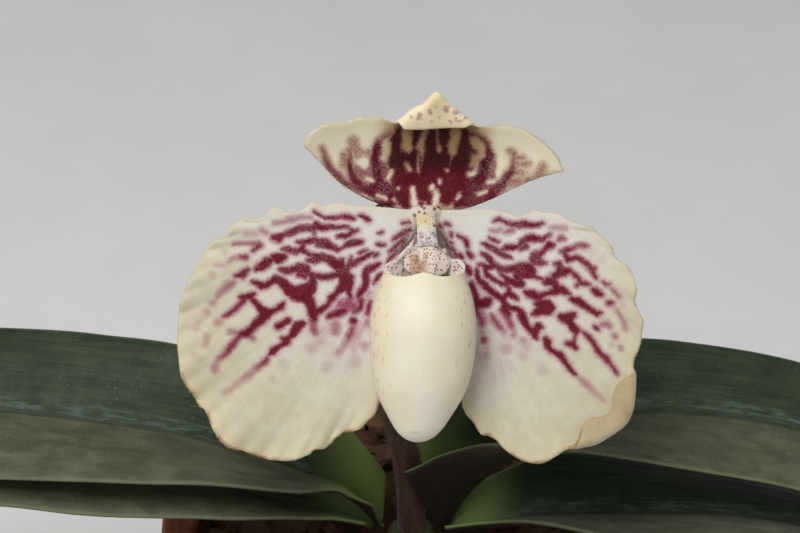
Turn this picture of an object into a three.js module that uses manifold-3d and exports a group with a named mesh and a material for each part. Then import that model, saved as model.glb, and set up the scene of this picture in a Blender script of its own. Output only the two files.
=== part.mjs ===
// A paphiopedilum orchid in flower: one growth with four leaves, its stalk and its flower, in a pot of bark mix.
// Millimetres, +Z up. The origin is the centre of the pot's flat bottom, and the flower looks along -Y and up.

import * as THREE from 'three';
import { mergeVertices } from 'three/addons/utils/BufferGeometryUtils.js';
import Module from 'manifold-3d';

const wasm = await Module();
wasm.setup();

// Driving dimensions.
const GAP = 0.3;                     // clear space between neighbouring pieces
const POT_HEIGHT = 78;
const POT_RIM_RADIUS = 44;
const POT_BASE_RADIUS = 30;
const POT_WALL = 3.2;
const POT_FLOOR = 5;
const POT_COLLAR_HEIGHT = 15;
const DRAIN_RADIUS = 3.5;
const DRAIN_CIRCLE = 19;
const SOIL_LEVEL = 72;               // top of the bark mix
const CHIP_COUNT = 38;
const CROWN_RADIUS = 4.2;
const CROWN_DEPTH = 12;
const CROWN_TOP = SOIL_LEVEL + 3;
const ROOT_RADIUS = 1.5;
const ROOT_COUNT = 5;
const LEAF_THICKNESS = 1.2;
const SCAPE_RADIUS = 2.2;
const OVARY_RADIUS = 2.7;
const PETAL_THICKNESS = 0.8;
const COLUMN_RADIUS = 2.5;
const BLADE_BASE_RADIUS = 2.9;       // where sepals and petals start, round the column
const FLOWER_HEIGHT = 146;           // the column base above the pot's bottom
const FLOWER_LIFT = 38;              // degrees that the flower looks up from the horizontal
const LIP_WALL = 0.9;

// Small helpers.
const radians = THREE.MathUtils.degToRad;
const smooth = THREE.MathUtils.smoothstep;
const vector = (x, y, z = 0) => new THREE.Vector3(x, y, z);
const curveThrough = (points) => new THREE.CatmullRomCurve3(points.map((p) => vector(...p)), false, 'centripetal');

// A seeded draw, so that the bark lies the same way each time.
function seededRandom(seed) {
  let state = seed;
  return () => {
    state = (state * 1664525 + 1013904223) % 4294967296;
    return state / 4294967296;
  };
}

// Straight-line interpolation in a list of [position, value] pairs.
function along(pairs, at) {
  for (let i = 1; i < pairs.length; i += 1) {
    const [from, low] = pairs[i - 1];
    const [to, high] = pairs[i];
    if (at <= to) return low + (high - low) * THREE.MathUtils.clamp((at - from) / (to - from), 0, 1);
  }
  return pairs[pairs.length - 1][1];
}

// A geometry from points and faces, turned so that its faces look out.
function closedGeometry(points, faces) {
  let volume = 0;
  for (const [a, b, c] of faces) volume += points[a].dot(points[b].clone().cross(points[c]));
  const index = volume < 0 ? faces.flatMap(([a, b, c]) => [a, c, b]) : faces.flat();
  const geometry = new THREE.BufferGeometry();
  geometry.setAttribute('position', new THREE.Float32BufferAttribute(points.flatMap((p) => p.toArray()), 3));
  geometry.setIndex(index);
  return geometry;
}

// A closed sheet: surface(u, v) is its middle, and both faces are split into the same triangles.
function sheet(surface, across, lengthwise, thickness) {
  const grid = [];
  for (let j = 0; j <= lengthwise; j += 1) {
    for (let i = 0; i <= across; i += 1) grid.push(surface(i / across, j / lengthwise));
  }
  const width = across + 1;
  const at = (i, j) => grid[THREE.MathUtils.clamp(j, 0, lengthwise) * width + THREE.MathUtils.clamp(i, 0, across)];
  const front = [];
  const back = [];
  for (let j = 0; j <= lengthwise; j += 1) {
    for (let i = 0; i <= across; i += 1) {
      const sideways = at(i + 1, j).clone().sub(at(i - 1, j));
      const forward = at(i, j + 1).clone().sub(at(i, j - 1));
      const half = sideways.cross(forward).normalize().multiplyScalar(thickness / 2);
      front.push(at(i, j).clone().add(half));
      back.push(at(i, j).clone().sub(half));
    }
  }
  const other = front.length;
  const faces = [];
  for (let j = 0; j < lengthwise; j += 1) {
    for (let i = 0; i < across; i += 1) {
      const a = j * width + i;
      const [b, c, d] = [a + 1, a + width + 1, a + width];
      faces.push([a, b, c], [a, c, d], [other + a, other + c, other + b], [other + a, other + d, other + c]);
    }
  }
  const rim = [];
  for (let i = 0; i < across; i += 1) rim.push(i);
  for (let j = 0; j < lengthwise; j += 1) rim.push(j * width + across);
  for (let i = across; i > 0; i -= 1) rim.push(lengthwise * width + i);
  for (let j = lengthwise; j > 0; j -= 1) rim.push(j * width);
  rim.forEach((a, k) => {
    const b = rim[(k + 1) % rim.length];
    faces.push([b, a, other + a], [b, other + a, other + b]);
  });
  return closedGeometry([...front, ...back], faces);
}

// A closed body from a first point, rings of points and a last point.
function ringBody(first, rings, last) {
  const count = rings[0].length;
  const points = [first, ...rings.flat(), last];
  const end = points.length - 1;
  const faces = [];
  for (let i = 0; i < count; i += 1) {
    const next = (i + 1) % count;
    faces.push([0, 1 + next, 1 + i]);
    for (let r = 0; r + 1 < rings.length; r += 1) {
      const a = 1 + r * count;
      faces.push([a + i, a + next, a + count + next], [a + i, a + count + next, a + count + i]);
    }
    const tail = 1 + (rings.length - 1) * count;
    faces.push([tail + i, tail + next, end]);
  }
  return closedGeometry(points, faces);
}

// A round stem along a curve, with radius(t, angle) from its axis.
function stem(curve, radius, steps, sides) {
  const frames = curve.computeFrenetFrames(steps, false);
  const rings = [];
  for (let k = 0; k <= steps; k += 1) {
    const centre = curve.getPointAt(k / steps);
    const ring = [];
    for (let i = 0; i < sides; i += 1) {
      const angle = (2 * Math.PI * i) / sides;
      const reach = radius(k / steps, angle);
      ring.push(centre.clone()
        .addScaledVector(frames.normals[k], reach * Math.cos(angle))
        .addScaledVector(frames.binormals[k], reach * Math.sin(angle)));
    }
    rings.push(ring);
  }
  return ringBody(curve.getPointAt(0), rings, curve.getPointAt(1));
}

// Conversions between a closed three.js geometry and a solid that can be joined and cut.
function toSolid(geometry) {
  const bare = geometry.clone();
  bare.deleteAttribute('normal');
  bare.deleteAttribute('uv');
  const merged = mergeVertices(bare, 1e-4);
  return new wasm.Manifold(new wasm.Mesh({
    numProp: 3,
    vertProperties: Float32Array.from(merged.attributes.position.array),
    triVerts: Uint32Array.from(merged.index.array),
  }));
}

function toGeometry(solid) {
  const mesh = solid.getMesh();
  const geometry = new THREE.BufferGeometry();
  geometry.setAttribute('position', new THREE.BufferAttribute(mesh.vertProperties, 3));
  geometry.setIndex(new THREE.BufferAttribute(mesh.triVerts, 1));
  return geometry;
}

const material = (color, roughness) => new THREE.MeshStandardMaterial({ color, roughness, metalness: 0 });
const TERRACOTTA = material(0xb5694a, 0.85);
const BARK = material(0x5a4030, 0.95);
const CROWN_GREEN = material(0x6f6a3c, 0.7);
const LEAF_GREEN = material(0x3c4a34, 0.45);
const STALK_PURPLE = material(0x6b4a44, 0.8);
const PETAL_CREAM = material(0xeadfcb, 0.55);
const SEPAL_CREAM = material(0xe2d8c0, 0.55);
const LIP_IVORY = material(0xefe8d6, 0.4);
const COLUMN_YELLOW = material(0xe6dca8, 0.5);
const ANTHER_YELLOW = material(0xd8b54a, 0.5);

// The pot: a turned wall with a collar, and three drainage holes set off its centre.
function potGeometry() {
  const rim = POT_RIM_RADIUS;
  const collarFoot = POT_HEIGHT - POT_COLLAR_HEIGHT;
  const profile = [
    [0, 0], [POT_BASE_RADIUS - 1, 0], [POT_BASE_RADIUS, 1], [rim - 5.5, collarFoot - 0.5], [rim - 2.6, collarFoot],
    [rim - 1.4, collarFoot + 1.4], [rim, POT_HEIGHT - 1.6], [rim - 0.8, POT_HEIGHT - 0.3], [rim - 1.8, POT_HEIGHT],
    [rim - POT_WALL, POT_HEIGHT - 0.8], [rim - POT_WALL - 0.8, POT_HEIGHT - 4],
    [rim - 6.2 - POT_WALL, collarFoot - 8], [POT_BASE_RADIUS - POT_WALL, POT_FLOOR + 2],
    [POT_BASE_RADIUS - POT_WALL - 2, POT_FLOOR], [0, POT_FLOOR],
  ].map(([r, z]) => new THREE.Vector2(r, z));
  let pot = toSolid(new THREE.LatheGeometry(profile, 36).rotateX(Math.PI / 2));
  for (let k = 0; k < 3; k += 1) {
    const turn = (2 * Math.PI * k) / 3 + Math.PI / 2;
    const hole = new THREE.CylinderGeometry(DRAIN_RADIUS, DRAIN_RADIUS, 3 * POT_FLOOR, 12).rotateX(Math.PI / 2);
    hole.translate(DRAIN_CIRCLE * Math.cos(turn), DRAIN_CIRCLE * Math.sin(turn), POT_FLOOR / 2);
    pot = pot.subtract(toSolid(hole));
  }
  return toGeometry(pot);
}

// The crown's roots: they leave it low down and spread through the mix.
function rootCurves() {
  const curves = [];
  for (let k = 0; k < ROOT_COUNT; k += 1) {
    const turn = (2 * Math.PI * k) / ROOT_COUNT + 0.4;
    const reach = (distance, drop) => [
      distance * Math.cos(turn + distance * 0.02), distance * Math.sin(turn + distance * 0.02), SOIL_LEVEL - drop,
    ];
    curves.push(curveThrough([reach(1, 6), reach(7, 10), reach(14, 20), reach(18, 34), reach(19, 46)]));
  }
  return curves;
}

function crownGeometry() {
  const bottom = SOIL_LEVEL - CROWN_DEPTH;
  const profile = [
    [0, bottom], [CROWN_RADIUS - 1, bottom], [CROWN_RADIUS, bottom + 3], [CROWN_RADIUS, SOIL_LEVEL - 2],
    [CROWN_RADIUS - 0.4, SOIL_LEVEL - 1.4], [CROWN_RADIUS, SOIL_LEVEL - 0.8], [CROWN_RADIUS, CROWN_TOP - 1],
    [CROWN_RADIUS - 0.8, CROWN_TOP], [0, CROWN_TOP],
  ].map(([r, z]) => new THREE.Vector2(r, z));
  let crown = toSolid(new THREE.LatheGeometry(profile, 18).rotateX(Math.PI / 2));
  for (const curve of rootCurves()) {
    crown = crown.add(toSolid(stem(curve, (t) => ROOT_RADIUS * (1 - 0.5 * t), 6, 6)));
  }
  return toGeometry(crown);
}

// The bark mix: a filling just inside the pot's wall, with chips sunk in its top and a hole for the crown.
function mediumGeometry() {
  const collarFoot = POT_HEIGHT - POT_COLLAR_HEIGHT;
  const wall = POT_RIM_RADIUS - POT_WALL;
  const profile = [
    [0, POT_FLOOR + GAP], [POT_BASE_RADIUS - POT_WALL - 2.4, POT_FLOOR + GAP],
    [POT_BASE_RADIUS - POT_WALL - 0.5, POT_FLOOR + 2.5], [wall - 6.7, collarFoot - 8], [wall - 2.1, SOIL_LEVEL - 1],
    [wall - 3, SOIL_LEVEL], [0, SOIL_LEVEL],
  ].map(([r, z]) => new THREE.Vector2(r, z));
  let medium = toSolid(new THREE.LatheGeometry(profile, 36).rotateX(Math.PI / 2));
  const random = seededRandom(11);
  const innermost = CROWN_RADIUS + 7;
  const outermost = wall - 7;
  for (let k = 0; k < CHIP_COUNT; k += 1) {
    const distance = innermost + (outermost - innermost) * Math.sqrt((k + 0.5) / CHIP_COUNT);
    const turn = k * 2.39996 + random() * 0.3;
    const chip = new THREE.BoxGeometry(6 + 4 * random(), 4 + 2.5 * random(), 3.2);
    chip.rotateX((random() - 0.5) * 0.5).rotateY((random() - 0.5) * 0.5).rotateZ(random() * Math.PI);
    chip.translate(distance * Math.cos(turn), distance * Math.sin(turn), SOIL_LEVEL - 0.4);
    medium = medium.add(toSolid(chip));
  }
  const hole = new THREE.CylinderGeometry(CROWN_RADIUS + GAP, CROWN_RADIUS + GAP, CROWN_DEPTH + 8 + GAP, 18);
  hole.rotateX(Math.PI / 2).translate(0, 0, SOIL_LEVEL + 4 - CROWN_DEPTH / 2 - GAP / 2);
  medium = medium.subtract(toSolid(hole));
  for (const curve of rootCurves()) {
    const longer = new THREE.CatmullRomCurve3([
      ...curve.points, curve.getPoint(1).add(curve.getTangent(1).multiplyScalar(GAP)),
    ], false, 'centripetal');
    medium = medium.subtract(toSolid(stem(longer, (t) => ROOT_RADIUS * (1 - 0.5 * t) + GAP, 6, 6)));
  }
  return toGeometry(medium);
}

// A leaf: a channelled blade along its keel. fold is how steeply each half rises from the keel, roll turns the
// whole blade about it, and lean tips the clasping base, all as [share of the length, value] pairs.
function leafGeometry({ keel, halfWidth, fold, roll, lean }) {
  const curve = curveThrough(keel);
  const up = vector(0, 0, 1);
  return sheet((u, v) => {
    const centre = curve.getPointAt(v);
    const tangent = curve.getTangentAt(v);
    const side = vector(0, 0, 0).crossVectors(tangent, up).normalize();
    const square = vector(0, 0, 0).crossVectors(side, tangent);
    const base = vector(lean, 0, 1).normalize();
    const rise = base.lerp(square, smooth(v, 0.02, 0.3)).normalize();
    const turned = radians(along(roll, v));
    const across = side.clone().multiplyScalar(Math.cos(turned)).addScaledVector(rise, Math.sin(turned));
    const upward = rise.clone().multiplyScalar(Math.cos(turned)).addScaledVector(side, -Math.sin(turned));
    const offset = 2 * u - 1;
    const reach = along(halfWidth, v);
    const steep = radians(along(fold, v));
    const rounded = Math.sqrt(offset * offset + 0.01) - 0.1;
    const arch = 0.06 * reach * Math.sin(Math.PI * Math.abs(offset));
    return centre.clone()
      .addScaledVector(across, offset * reach * Math.cos(steep))
      .addScaledVector(upward, rounded * reach * Math.sin(steep) + arch * Math.cos(steep));
  }, 8, 18, LEAF_THICKNESS);
}

const soil = (x, y, height) => [x, y, SOIL_LEVEL + height];
const LEAVES = {
  leaf_upper_left: {
    keel: [
      soil(-5.2, 1.5, 1.9), soil(-10.7, 3.4, 8.6), soil(-21, 4, 13.2), soil(-36, 4, 19.6), soil(-55, 4, 24),
      soil(-75, 4, 26.6), soil(-100, 3, 26), soil(-128, 1, 19),
    ],
    halfWidth: [[0, 11], [0.15, 14], [0.4, 16.5], [0.65, 16], [0.82, 13], [0.94, 8], [1, 2]],
    fold: [[0, 70], [0.07, 62], [0.15, 46], [0.265, 33], [0.41, 21], [0.56, 13], [1, 12]],
    roll: [[0, 6], [0.07, 19], [0.15, 17], [0.4, 13], [1, 11]],
    lean: 0,
  },
  leaf_lower_left: {
    keel: [
      soil(-7, 1.7, 1.2), soil(-13, 3, 3.7), soil(-19.5, 3, 6.6), soil(-36, 2.5, 13.4), soil(-55, 2, 17.5),
      soil(-72, 2, 19.3), soil(-92, 0, 17.5), soil(-114, -3, 10),
    ],
    halfWidth: [[0, 8], [0.2, 12], [0.45, 14.5], [0.7, 13.5], [0.88, 9.5], [0.96, 6], [1, 2]],
    fold: [[0, 50], [0.12, 36], [0.28, 17], [0.5, 9], [1, 12]],
    roll: [[0, 0], [0.12, 8], [0.3, 7], [1, 7]],
    lean: 0,
  },
  leaf_upper_right: {
    keel: [
      soil(5.3, 0.5, 1.7), soil(8, 0.7, 7.8), soil(11.6, 1, 13.4), soil(17.6, 2, 18.4), soil(27, 3, 23.5),
      soil(38, 4, 26), soil(54, 4, 25), soil(70, 4, 21), soil(96, 3, 9), soil(120, 2, -7),
    ],
    halfWidth: [[0, 21], [0.07, 17], [0.14, 15], [0.3, 14.3], [0.62, 14], [0.8, 12], [0.93, 7.8], [1, 2]],
    fold: [[0, 70], [0.12, 64], [0.22, 44], [0.32, 22], [0.42, 11], [0.6, 7], [1, 10]],
    roll: [[0, 8], [0.12, 0], [0.32, -11], [1, -13]],
    lean: -0.37,
  },
  leaf_lower_right: {
    keel: [
      soil(7, 0.4, 1.2), soil(15, -1.5, 5), soil(25, -3, 8.4), soil(40, -4, 9.6), soil(54, -4, 9.2),
      soil(68, -4, 6.5), soil(88, -5, -2), soil(106, -6, -13),
    ],
    halfWidth: [[0, 8], [0.2, 12], [0.45, 13.5], [0.7, 13], [0.88, 9.2], [0.96, 6], [1, 2]],
    fold: [[0, 52], [0.15, 40], [0.35, 14], [0.6, 8], [1, 12]],
    roll: [[0, 0], [0.3, 6], [0.4, 10], [0.65, 16], [1, 14]],
    lean: 0,
  },
};

// The stalk and the ovary are one curve, parted where the small bract stands.
const OVARY_END = flowerToWorld(vector(0, 0, -2.75));
const SCAPE_POINTS = [
  [0, 0.2, CROWN_TOP + 1.5 * GAP], soil(0, 0.3, 7), soil(-0.3, 0.8, 14), soil(-1.5, 1.8, 22), soil(-3.2, 3, 29),
  soil(-4.8, 5.4, 40), soil(-4.9, 8, 49), soil(-4.7, 9.3, 53.4),
];
const OVARY_POINTS = [
  soil(-4.65, 9.5, 53.9), soil(-3.8, 11.2, 59.5), soil(-1.8, 11.3, 64.4), soil(0.6, 8.9, 67.6),
  flowerToWorld(vector(0, 0, -8)).toArray(), OVARY_END.toArray(),
];

// The flower's own frame has its origin at the column's base, x to the right, y up the flower and z out of it.
function flowerToWorld(point) {
  const lift = radians(FLOWER_LIFT);
  return vector(
    2 + point.x,
    -2 + point.y * Math.sin(lift) - point.z * Math.cos(lift),
    FLOWER_HEIGHT + point.y * Math.cos(lift) + point.z * Math.sin(lift),
  );
}

const scapeGeometry = () => stem(curveThrough(SCAPE_POINTS), (t) => SCAPE_RADIUS * (1 + 0.15 * (1 - t)), 12, 10);

const ovaryRadius = (t) => OVARY_RADIUS - 0.8 * (1 - smooth(t, 0, 0.35)) + 0.2 * smooth(t, 0.8, 1);

const ovaryGeometry = () => stem(
  curveThrough(OVARY_POINTS), (t, angle) => ovaryRadius(t) * (1 + 0.06 * Math.cos(6 * angle)), 14, 12,
);

// The bract: a small pointed sheath, folded round the back of the ovary's foot.
function bractGeometry() {
  const curve = curveThrough(OVARY_POINTS);
  const thickness = 0.7;
  return sheet((u, v) => {
    const share = 0.01 + 0.42 * v;
    const at = curve.getPointAt(share);
    const angle = radians(90 + (u - 0.5) * 190 * (1 - 0.8 * v * v));
    const reach = 1.06 * ovaryRadius(share) + 2 * GAP + thickness / 2 + 1.4 * v * v;
    return vector(at.x + reach * Math.cos(angle), at.y + reach * Math.sin(angle), at.z);
  }, 8, 6, thickness);
}

// A blade of the flower lies between four lines: its base on the column, its two sides and its margin, all in the
// plane of the flower. rolled(u, edge) is how much of the margin curls forward past the outline. Where it does,
// only innerRows of the rows lie within the curl, so that the curl itself has enough of them.
function bladeSurface({ baseFrom, baseTo, firstSide, margin, lastSide, depth, rolled, curl, innerRows }) {
  const baseAt = (u) => {
    const angle = radians(baseFrom + (baseTo - baseFrom) * u);
    return vector(BLADE_BASE_RADIUS * Math.cos(angle), BLADE_BASE_RADIUS * Math.sin(angle));
  };
  const first = curveThrough([baseAt(0).toArray(), ...firstSide, margin[0]]);
  const last = curveThrough([baseAt(1).toArray(), ...lastSide, margin[margin.length - 1]]);
  const outer = curveThrough(margin);
  const flat = (u, v) => {
    const base = baseAt(u);
    const edge = outer.getPointAt(u);
    const point = first.getPointAt(v).multiplyScalar(1 - u).addScaledVector(last.getPointAt(v), u);
    point.addScaledVector(base, 1 - v).addScaledVector(edge, v);
    const corners = baseAt(0).multiplyScalar((1 - u) * (1 - v)).addScaledVector(baseAt(1), u * (1 - v));
    corners.addScaledVector(outer.getPointAt(0), (1 - u) * v).addScaledVector(outer.getPointAt(1), u * v);
    return point.sub(corners);
  };
  return (u, v) => {
    const edge = outer.getPointAt(u);
    const length = baseAt(u).distanceTo(edge);
    const extra = rolled(u, edge);
    const foldAt = length - curl * Math.sin(Math.min(extra / curl, Math.PI / 2));
    const inner = length - curl - 1.4;
    const whole = foldAt + extra;
    const within = THREE.MathUtils.lerp(inner / whole, innerRows, smooth(extra, 0, 2));
    const travelled = v < within ? inner * (v / within) : inner + (whole - inner) * ((v - within) / (1 - within));
    const beyond = Math.max(0, travelled - foldAt);
    const turn = Math.min(beyond / curl, Math.PI);
    const reach = Math.min(travelled, foldAt) + curl * Math.sin(turn) - Math.max(0, beyond - Math.PI * curl);
    const share = THREE.MathUtils.clamp(reach / length, 0, 1);
    const point = flat(u, share);
    point.z = depth(point, u, share) + curl * (1 - Math.cos(turn));
    return flowerToWorld(point);
  };
}

const bladeGeometry = (blade) => sheet(bladeSurface(blade), blade.columns, blade.rows, PETAL_THICKNESS);
const noRoll = () => 0;
const belowRight = (edge) => THREE.MathUtils.radToDeg(Math.atan2(-edge.y, edge.x));

// A petal is slightly cupped, with a margin that waves but for its two ends.
function petalDepth(waves, phase) {
  return (point, u, v) => {
    const distance = Math.hypot(point.x, point.y);
    const cup = 0.0021 * distance * distance;
    const wave = 0.9 * v ** 4 * Math.sin(2 * Math.PI * waves * u + phase);
    return -0.2 + cup + wave * smooth(u, 0, 0.14) * smooth(1 - u, 0, 0.14);
  };
}

const PETALS = {
  petal_left: {
    baseFrom: 158,
    baseTo: 232,
    firstSide: [[-6.3, 0.8], [-10.3, 1], [-14.4, 1.4], [-18.7, 1.2], [-23.4, 0.2]],
    margin: [
      [-28.3, -0.9], [-30.8, -2.2], [-33.7, -4.8], [-35.2, -7.5], [-37.1, -10.6], [-38.6, -14.8], [-39, -18.5],
      [-38.6, -22.5], [-38.1, -26.2], [-36.2, -28.9], [-34.4, -31.5], [-33.3, -34], [-31.1, -36.5],
      [-27.8, -37.7], [-24.6, -38.8], [-20.6, -38.8], [-17.6, -37.3], [-15.1, -36.3], [-12.7, -34.6],
      [-10, -33.7],
    ],
    lastSide: [[-3.5, -7], [-5, -14], [-6.2, -22], [-7, -28.9], [-7.9, -31.6]],
    depth: petalDepth(5, 0.4),
    rolled: noRoll,
    curl: 1,
    innerRows: 0.8,
    columns: 32,
    rows: 10,
  },
  petal_right: {
    baseFrom: 22,
    baseTo: -52,
    firstSide: [[5.9, 0.5], [10.3, 0.3], [13.9, 0], [18.4, 0], [22.6, -1]],
    margin: [
      [25.9, -2.1], [27.9, -4], [29.8, -6.2], [32.2, -9.2], [33, -12.2], [34, -15.4], [34.1, -18.1],
      [33.2, -21], [32.5, -24], [32.2, -28.1], [31.4, -31.6], [29.4, -34.3], [26.2, -36.2], [23, -36.8],
      [20.5, -38.3], [18.3, -39.4], [15.4, -39.1], [12.7, -37.5], [10.3, -35.2], [8.1, -33.5], [6.2, -31],
    ],
    lastSide: [[3, -4], [4.4, -9], [5.3, -16], [5.7, -24]],
    depth: petalDepth(4, 2.2),
    rolled: (u, edge) => 4.8 * smooth(belowRight(edge), 30, 44) * smooth(-belowRight(edge), -70, -57),
    curl: 1.2,
    innerRows: 0.66,
    columns: 32,
    rows: 12,
  },
};

// The dorsal sepal is a hood that leans forward. Its tip folds over in front, as a small pointed flap.
const DORSAL_SEPAL = {
  baseFrom: 165,
  baseTo: 15,
  firstSide: [[-4.8, 0.9], [-8.7, 2], [-13.4, 4.7], [-17, 8.4]],
  margin: [
    [-19.2, 10.6], [-18.4, 12.2], [-15.6, 13.9], [-12.6, 14.3], [-10, 14.9], [-7.3, 14.8], [-4.4, 14.2],
    [-1.9, 15.9], [0, 16.8], [1.8, 18.4], [3.4, 16.9], [5.3, 15.4], [7.9, 13.7], [11.7, 13.7], [15.4, 13.1],
    [18.8, 10.8], [20.8, 8.8], [21.8, 6.6],
  ],
  lastSide: [[6.3, 0.7], [10.3, 2.1], [15.8, 4.7], [19.4, 6]],
  depth: (point) => -1.9 + 0.029 * Math.max(0, point.y - 2) ** 2 + 0.012 * Math.max(0, Math.abs(point.x) - 6) ** 2,
  rolled: (u, edge) => smooth(8.5 - Math.abs(edge.x - 1.8), 0, 5) * (2.3 + Math.max(0, edge.y - 13.4)),
  curl: 1.1,
  innerRows: 0.55,
  columns: 40,
  rows: 12,
};

// The synsepal hangs behind the pouch and bends back.
const SYNSEPAL = {
  baseFrom: 222,
  baseTo: 318,
  firstSide: [[-6.5, -6], [-9.8, -11]],
  margin: [[-10.6, -15.5], [-9.4, -20], [-6, -23.6], [-1.5, -25], [3.6, -24.2], [7.6, -21], [9.4, -16.5]],
  lastSide: [[6, -6], [8.8, -11]],
  depth: (point) => -1.9 - 0.0045 * (point.x ** 2 + point.y ** 2) + 0.012 * point.x ** 2,
  rolled: noRoll,
  curl: 1,
  innerRows: 0.8,
  columns: 12,
  rows: 8,
};

// The lip: an egg-shaped pouch, open at the top, whose back wall narrows to a claw at the column's foot.
const LIP_TIP = -35.8;
const LIP_LENGTH = 26;
const LIP_HALF_WIDTH = 8.3;
const LIP_HALF_DEPTH = 7;
const LIP_WIDEST = 0.65;

function lipHalfWidth(height) {
  if (height <= LIP_WIDEST) return LIP_HALF_WIDTH * Math.sqrt(1 - (1 - height / LIP_WIDEST) ** 2);
  const shoulder = Math.min(height, 1) - LIP_WIDEST;
  const ellipse = LIP_HALF_WIDTH * Math.sqrt(1 - (shoulder / 0.54) ** 2);
  return ellipse - 13 * Math.max(0, height - 1);
}

function lipPoint(angle, share, inside) {
  const backward = ((1 - Math.cos(angle)) / 2) ** 4;
  const mouth = 1 + 0.262 * backward + 0.03 * Math.sin(angle) ** 4;
  const height = mouth * (1 - Math.cos((share * Math.PI) / 2));
  const wide = lipHalfWidth(height);
  const deep = (wide * LIP_HALF_DEPTH) / LIP_HALF_WIDTH;
  const inset = (half) => (half > 2.4 ? half - LIP_WALL : half * (1 - LIP_WALL / 2.4));
  const [a, b] = inside ? [inset(wide), inset(deep)] : [wide, deep];
  const lift = inside ? LIP_WALL * 1.1 * (1 - height / mouth) : 0;
  const centreX = -0.3 - 0.9 * (1 - Math.min(height, 1)) ** 2;
  const centreZ = 8.5 + 1.4 * Math.min(height, LIP_WIDEST) - 16.5 * Math.max(0, height - LIP_WIDEST) ** 2;
  return vector(centreX + a * Math.sin(angle), LIP_TIP + LIP_LENGTH * height + lift, centreZ + b * Math.cos(angle));
}

function lipGeometry() {
  const around = 24;
  const rows = 11;
  const ring = (share, inside) => Array.from(
    { length: around },
    (_, i) => flowerToWorld(lipPoint((2 * Math.PI * i) / around, share, inside)),
  );
  const rings = [];
  for (let r = 1; r <= rows; r += 1) rings.push(ring(r / rows, false));
  for (let r = rows; r >= 1; r -= 1) rings.push(ring(r / rows, true));
  return ringBody(flowerToWorld(lipPoint(0, 0, false)), rings, flowerToWorld(lipPoint(0, 0, true)));
}

// The column: a short bent post with the stigma under its end.
const COLUMN_POINTS = [[0, 0, -2.45], [0, 0, 0.6], [0.1, -1, 3.2], [0.3, -3.4, 5.4], [0.4, -5.6, 6.9]];

function columnGeometry() {
  const post = stem(curveThrough(COLUMN_POINTS), (t) => COLUMN_RADIUS * (1 - 0.16 * t), 10, 14);
  const stigma = new THREE.SphereGeometry(1, 14, 8).scale(2.1, 2.2, 1.3);
  stigma.rotateX(radians(35)).translate(0.15, -6.2, 5);
  const column = toGeometry(toSolid(post).add(toSolid(stigma)));
  return placeInFlower(column);
}

// The staminode: a shield with rounded lobes and a groove down its middle.
function staminodeGeometry() {
  const shield = new THREE.SphereGeometry(1, 24, 12);
  const position = shield.attributes.position;
  for (let i = 0; i < position.count; i += 1) {
    const [x, y, z] = [position.getX(i), position.getY(i), position.getZ(i)];
    const angle = Math.atan2(y, x);
    const lobes = 1 + 0.06 * Math.cos(3 * angle + Math.PI / 2);
    const groove = 0.35 * Math.exp(-((x / 0.22) ** 2)) * Math.max(0, z);
    position.setXYZ(i, 3.6 * x * lobes, 2.4 * y * lobes, z * 0.75 - groove);
  }
  shield.rotateX(radians(-14)).translate(0.4, -8.1, 8.4);
  return placeInFlower(shield);
}

function antherGeometry(side) {
  const anther = new THREE.SphereGeometry(1, 12, 8).scale(0.5, 1, 1.1);
  anther.translate(0.15 + side * 2.8, -6.6, 5.4);
  return placeInFlower(anther);
}

// Moves a geometry from the flower's own frame to the plant's.
function placeInFlower(geometry) {
  const position = geometry.attributes.position;
  const point = vector(0, 0, 0);
  for (let i = 0; i < position.count; i += 1) {
    const moved = flowerToWorld(point.fromBufferAttribute(position, i));
    position.setXYZ(i, moved.x, moved.y, moved.z);
  }
  return geometry;
}

const plant = new THREE.Group();

function addPiece(name, geometry, finish) {
  const bare = geometry.clone();
  bare.deleteAttribute('normal');
  bare.deleteAttribute('uv');
  const piece = new THREE.Mesh(mergeVertices(bare, 1e-4), finish);
  piece.name = name;
  plant.add(piece);
}

addPiece('pot', potGeometry(), TERRACOTTA);
addPiece('medium', mediumGeometry(), BARK);
addPiece('crown', crownGeometry(), CROWN_GREEN);
for (const [name, leaf] of Object.entries(LEAVES)) addPiece(name, leafGeometry(leaf), LEAF_GREEN);
addPiece('scape', scapeGeometry(), STALK_PURPLE);
addPiece('floral_bract', bractGeometry(), STALK_PURPLE);
addPiece('ovary', ovaryGeometry(), STALK_PURPLE);
addPiece('dorsal_sepal', bladeGeometry(DORSAL_SEPAL), SEPAL_CREAM);
addPiece('synsepal', bladeGeometry(SYNSEPAL), SEPAL_CREAM);
for (const [name, petal] of Object.entries(PETALS)) addPiece(name, bladeGeometry(petal), PETAL_CREAM);
addPiece('lip_pouch', lipGeometry(), LIP_IVORY);
addPiece('column', columnGeometry(), COLUMN_YELLOW);
addPiece('staminode', staminodeGeometry(), COLUMN_YELLOW);
addPiece('anther_left', antherGeometry(-1), ANTHER_YELLOW);
addPiece('anther_right', antherGeometry(1), ANTHER_YELLOW);

export default plant;
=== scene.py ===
"""A paphiopedilum orchid in flower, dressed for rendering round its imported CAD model.

Shapes are worked out in millimetres and turned into metres when a mesh is made. The flower has its own frame:
its origin is the column's base, x points to the right, y up the flower and z out of it, and the whole is
tipped back.
"""

import math

import bmesh
import bpy
import numpy as np
from mathutils import Matrix, Vector


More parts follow.
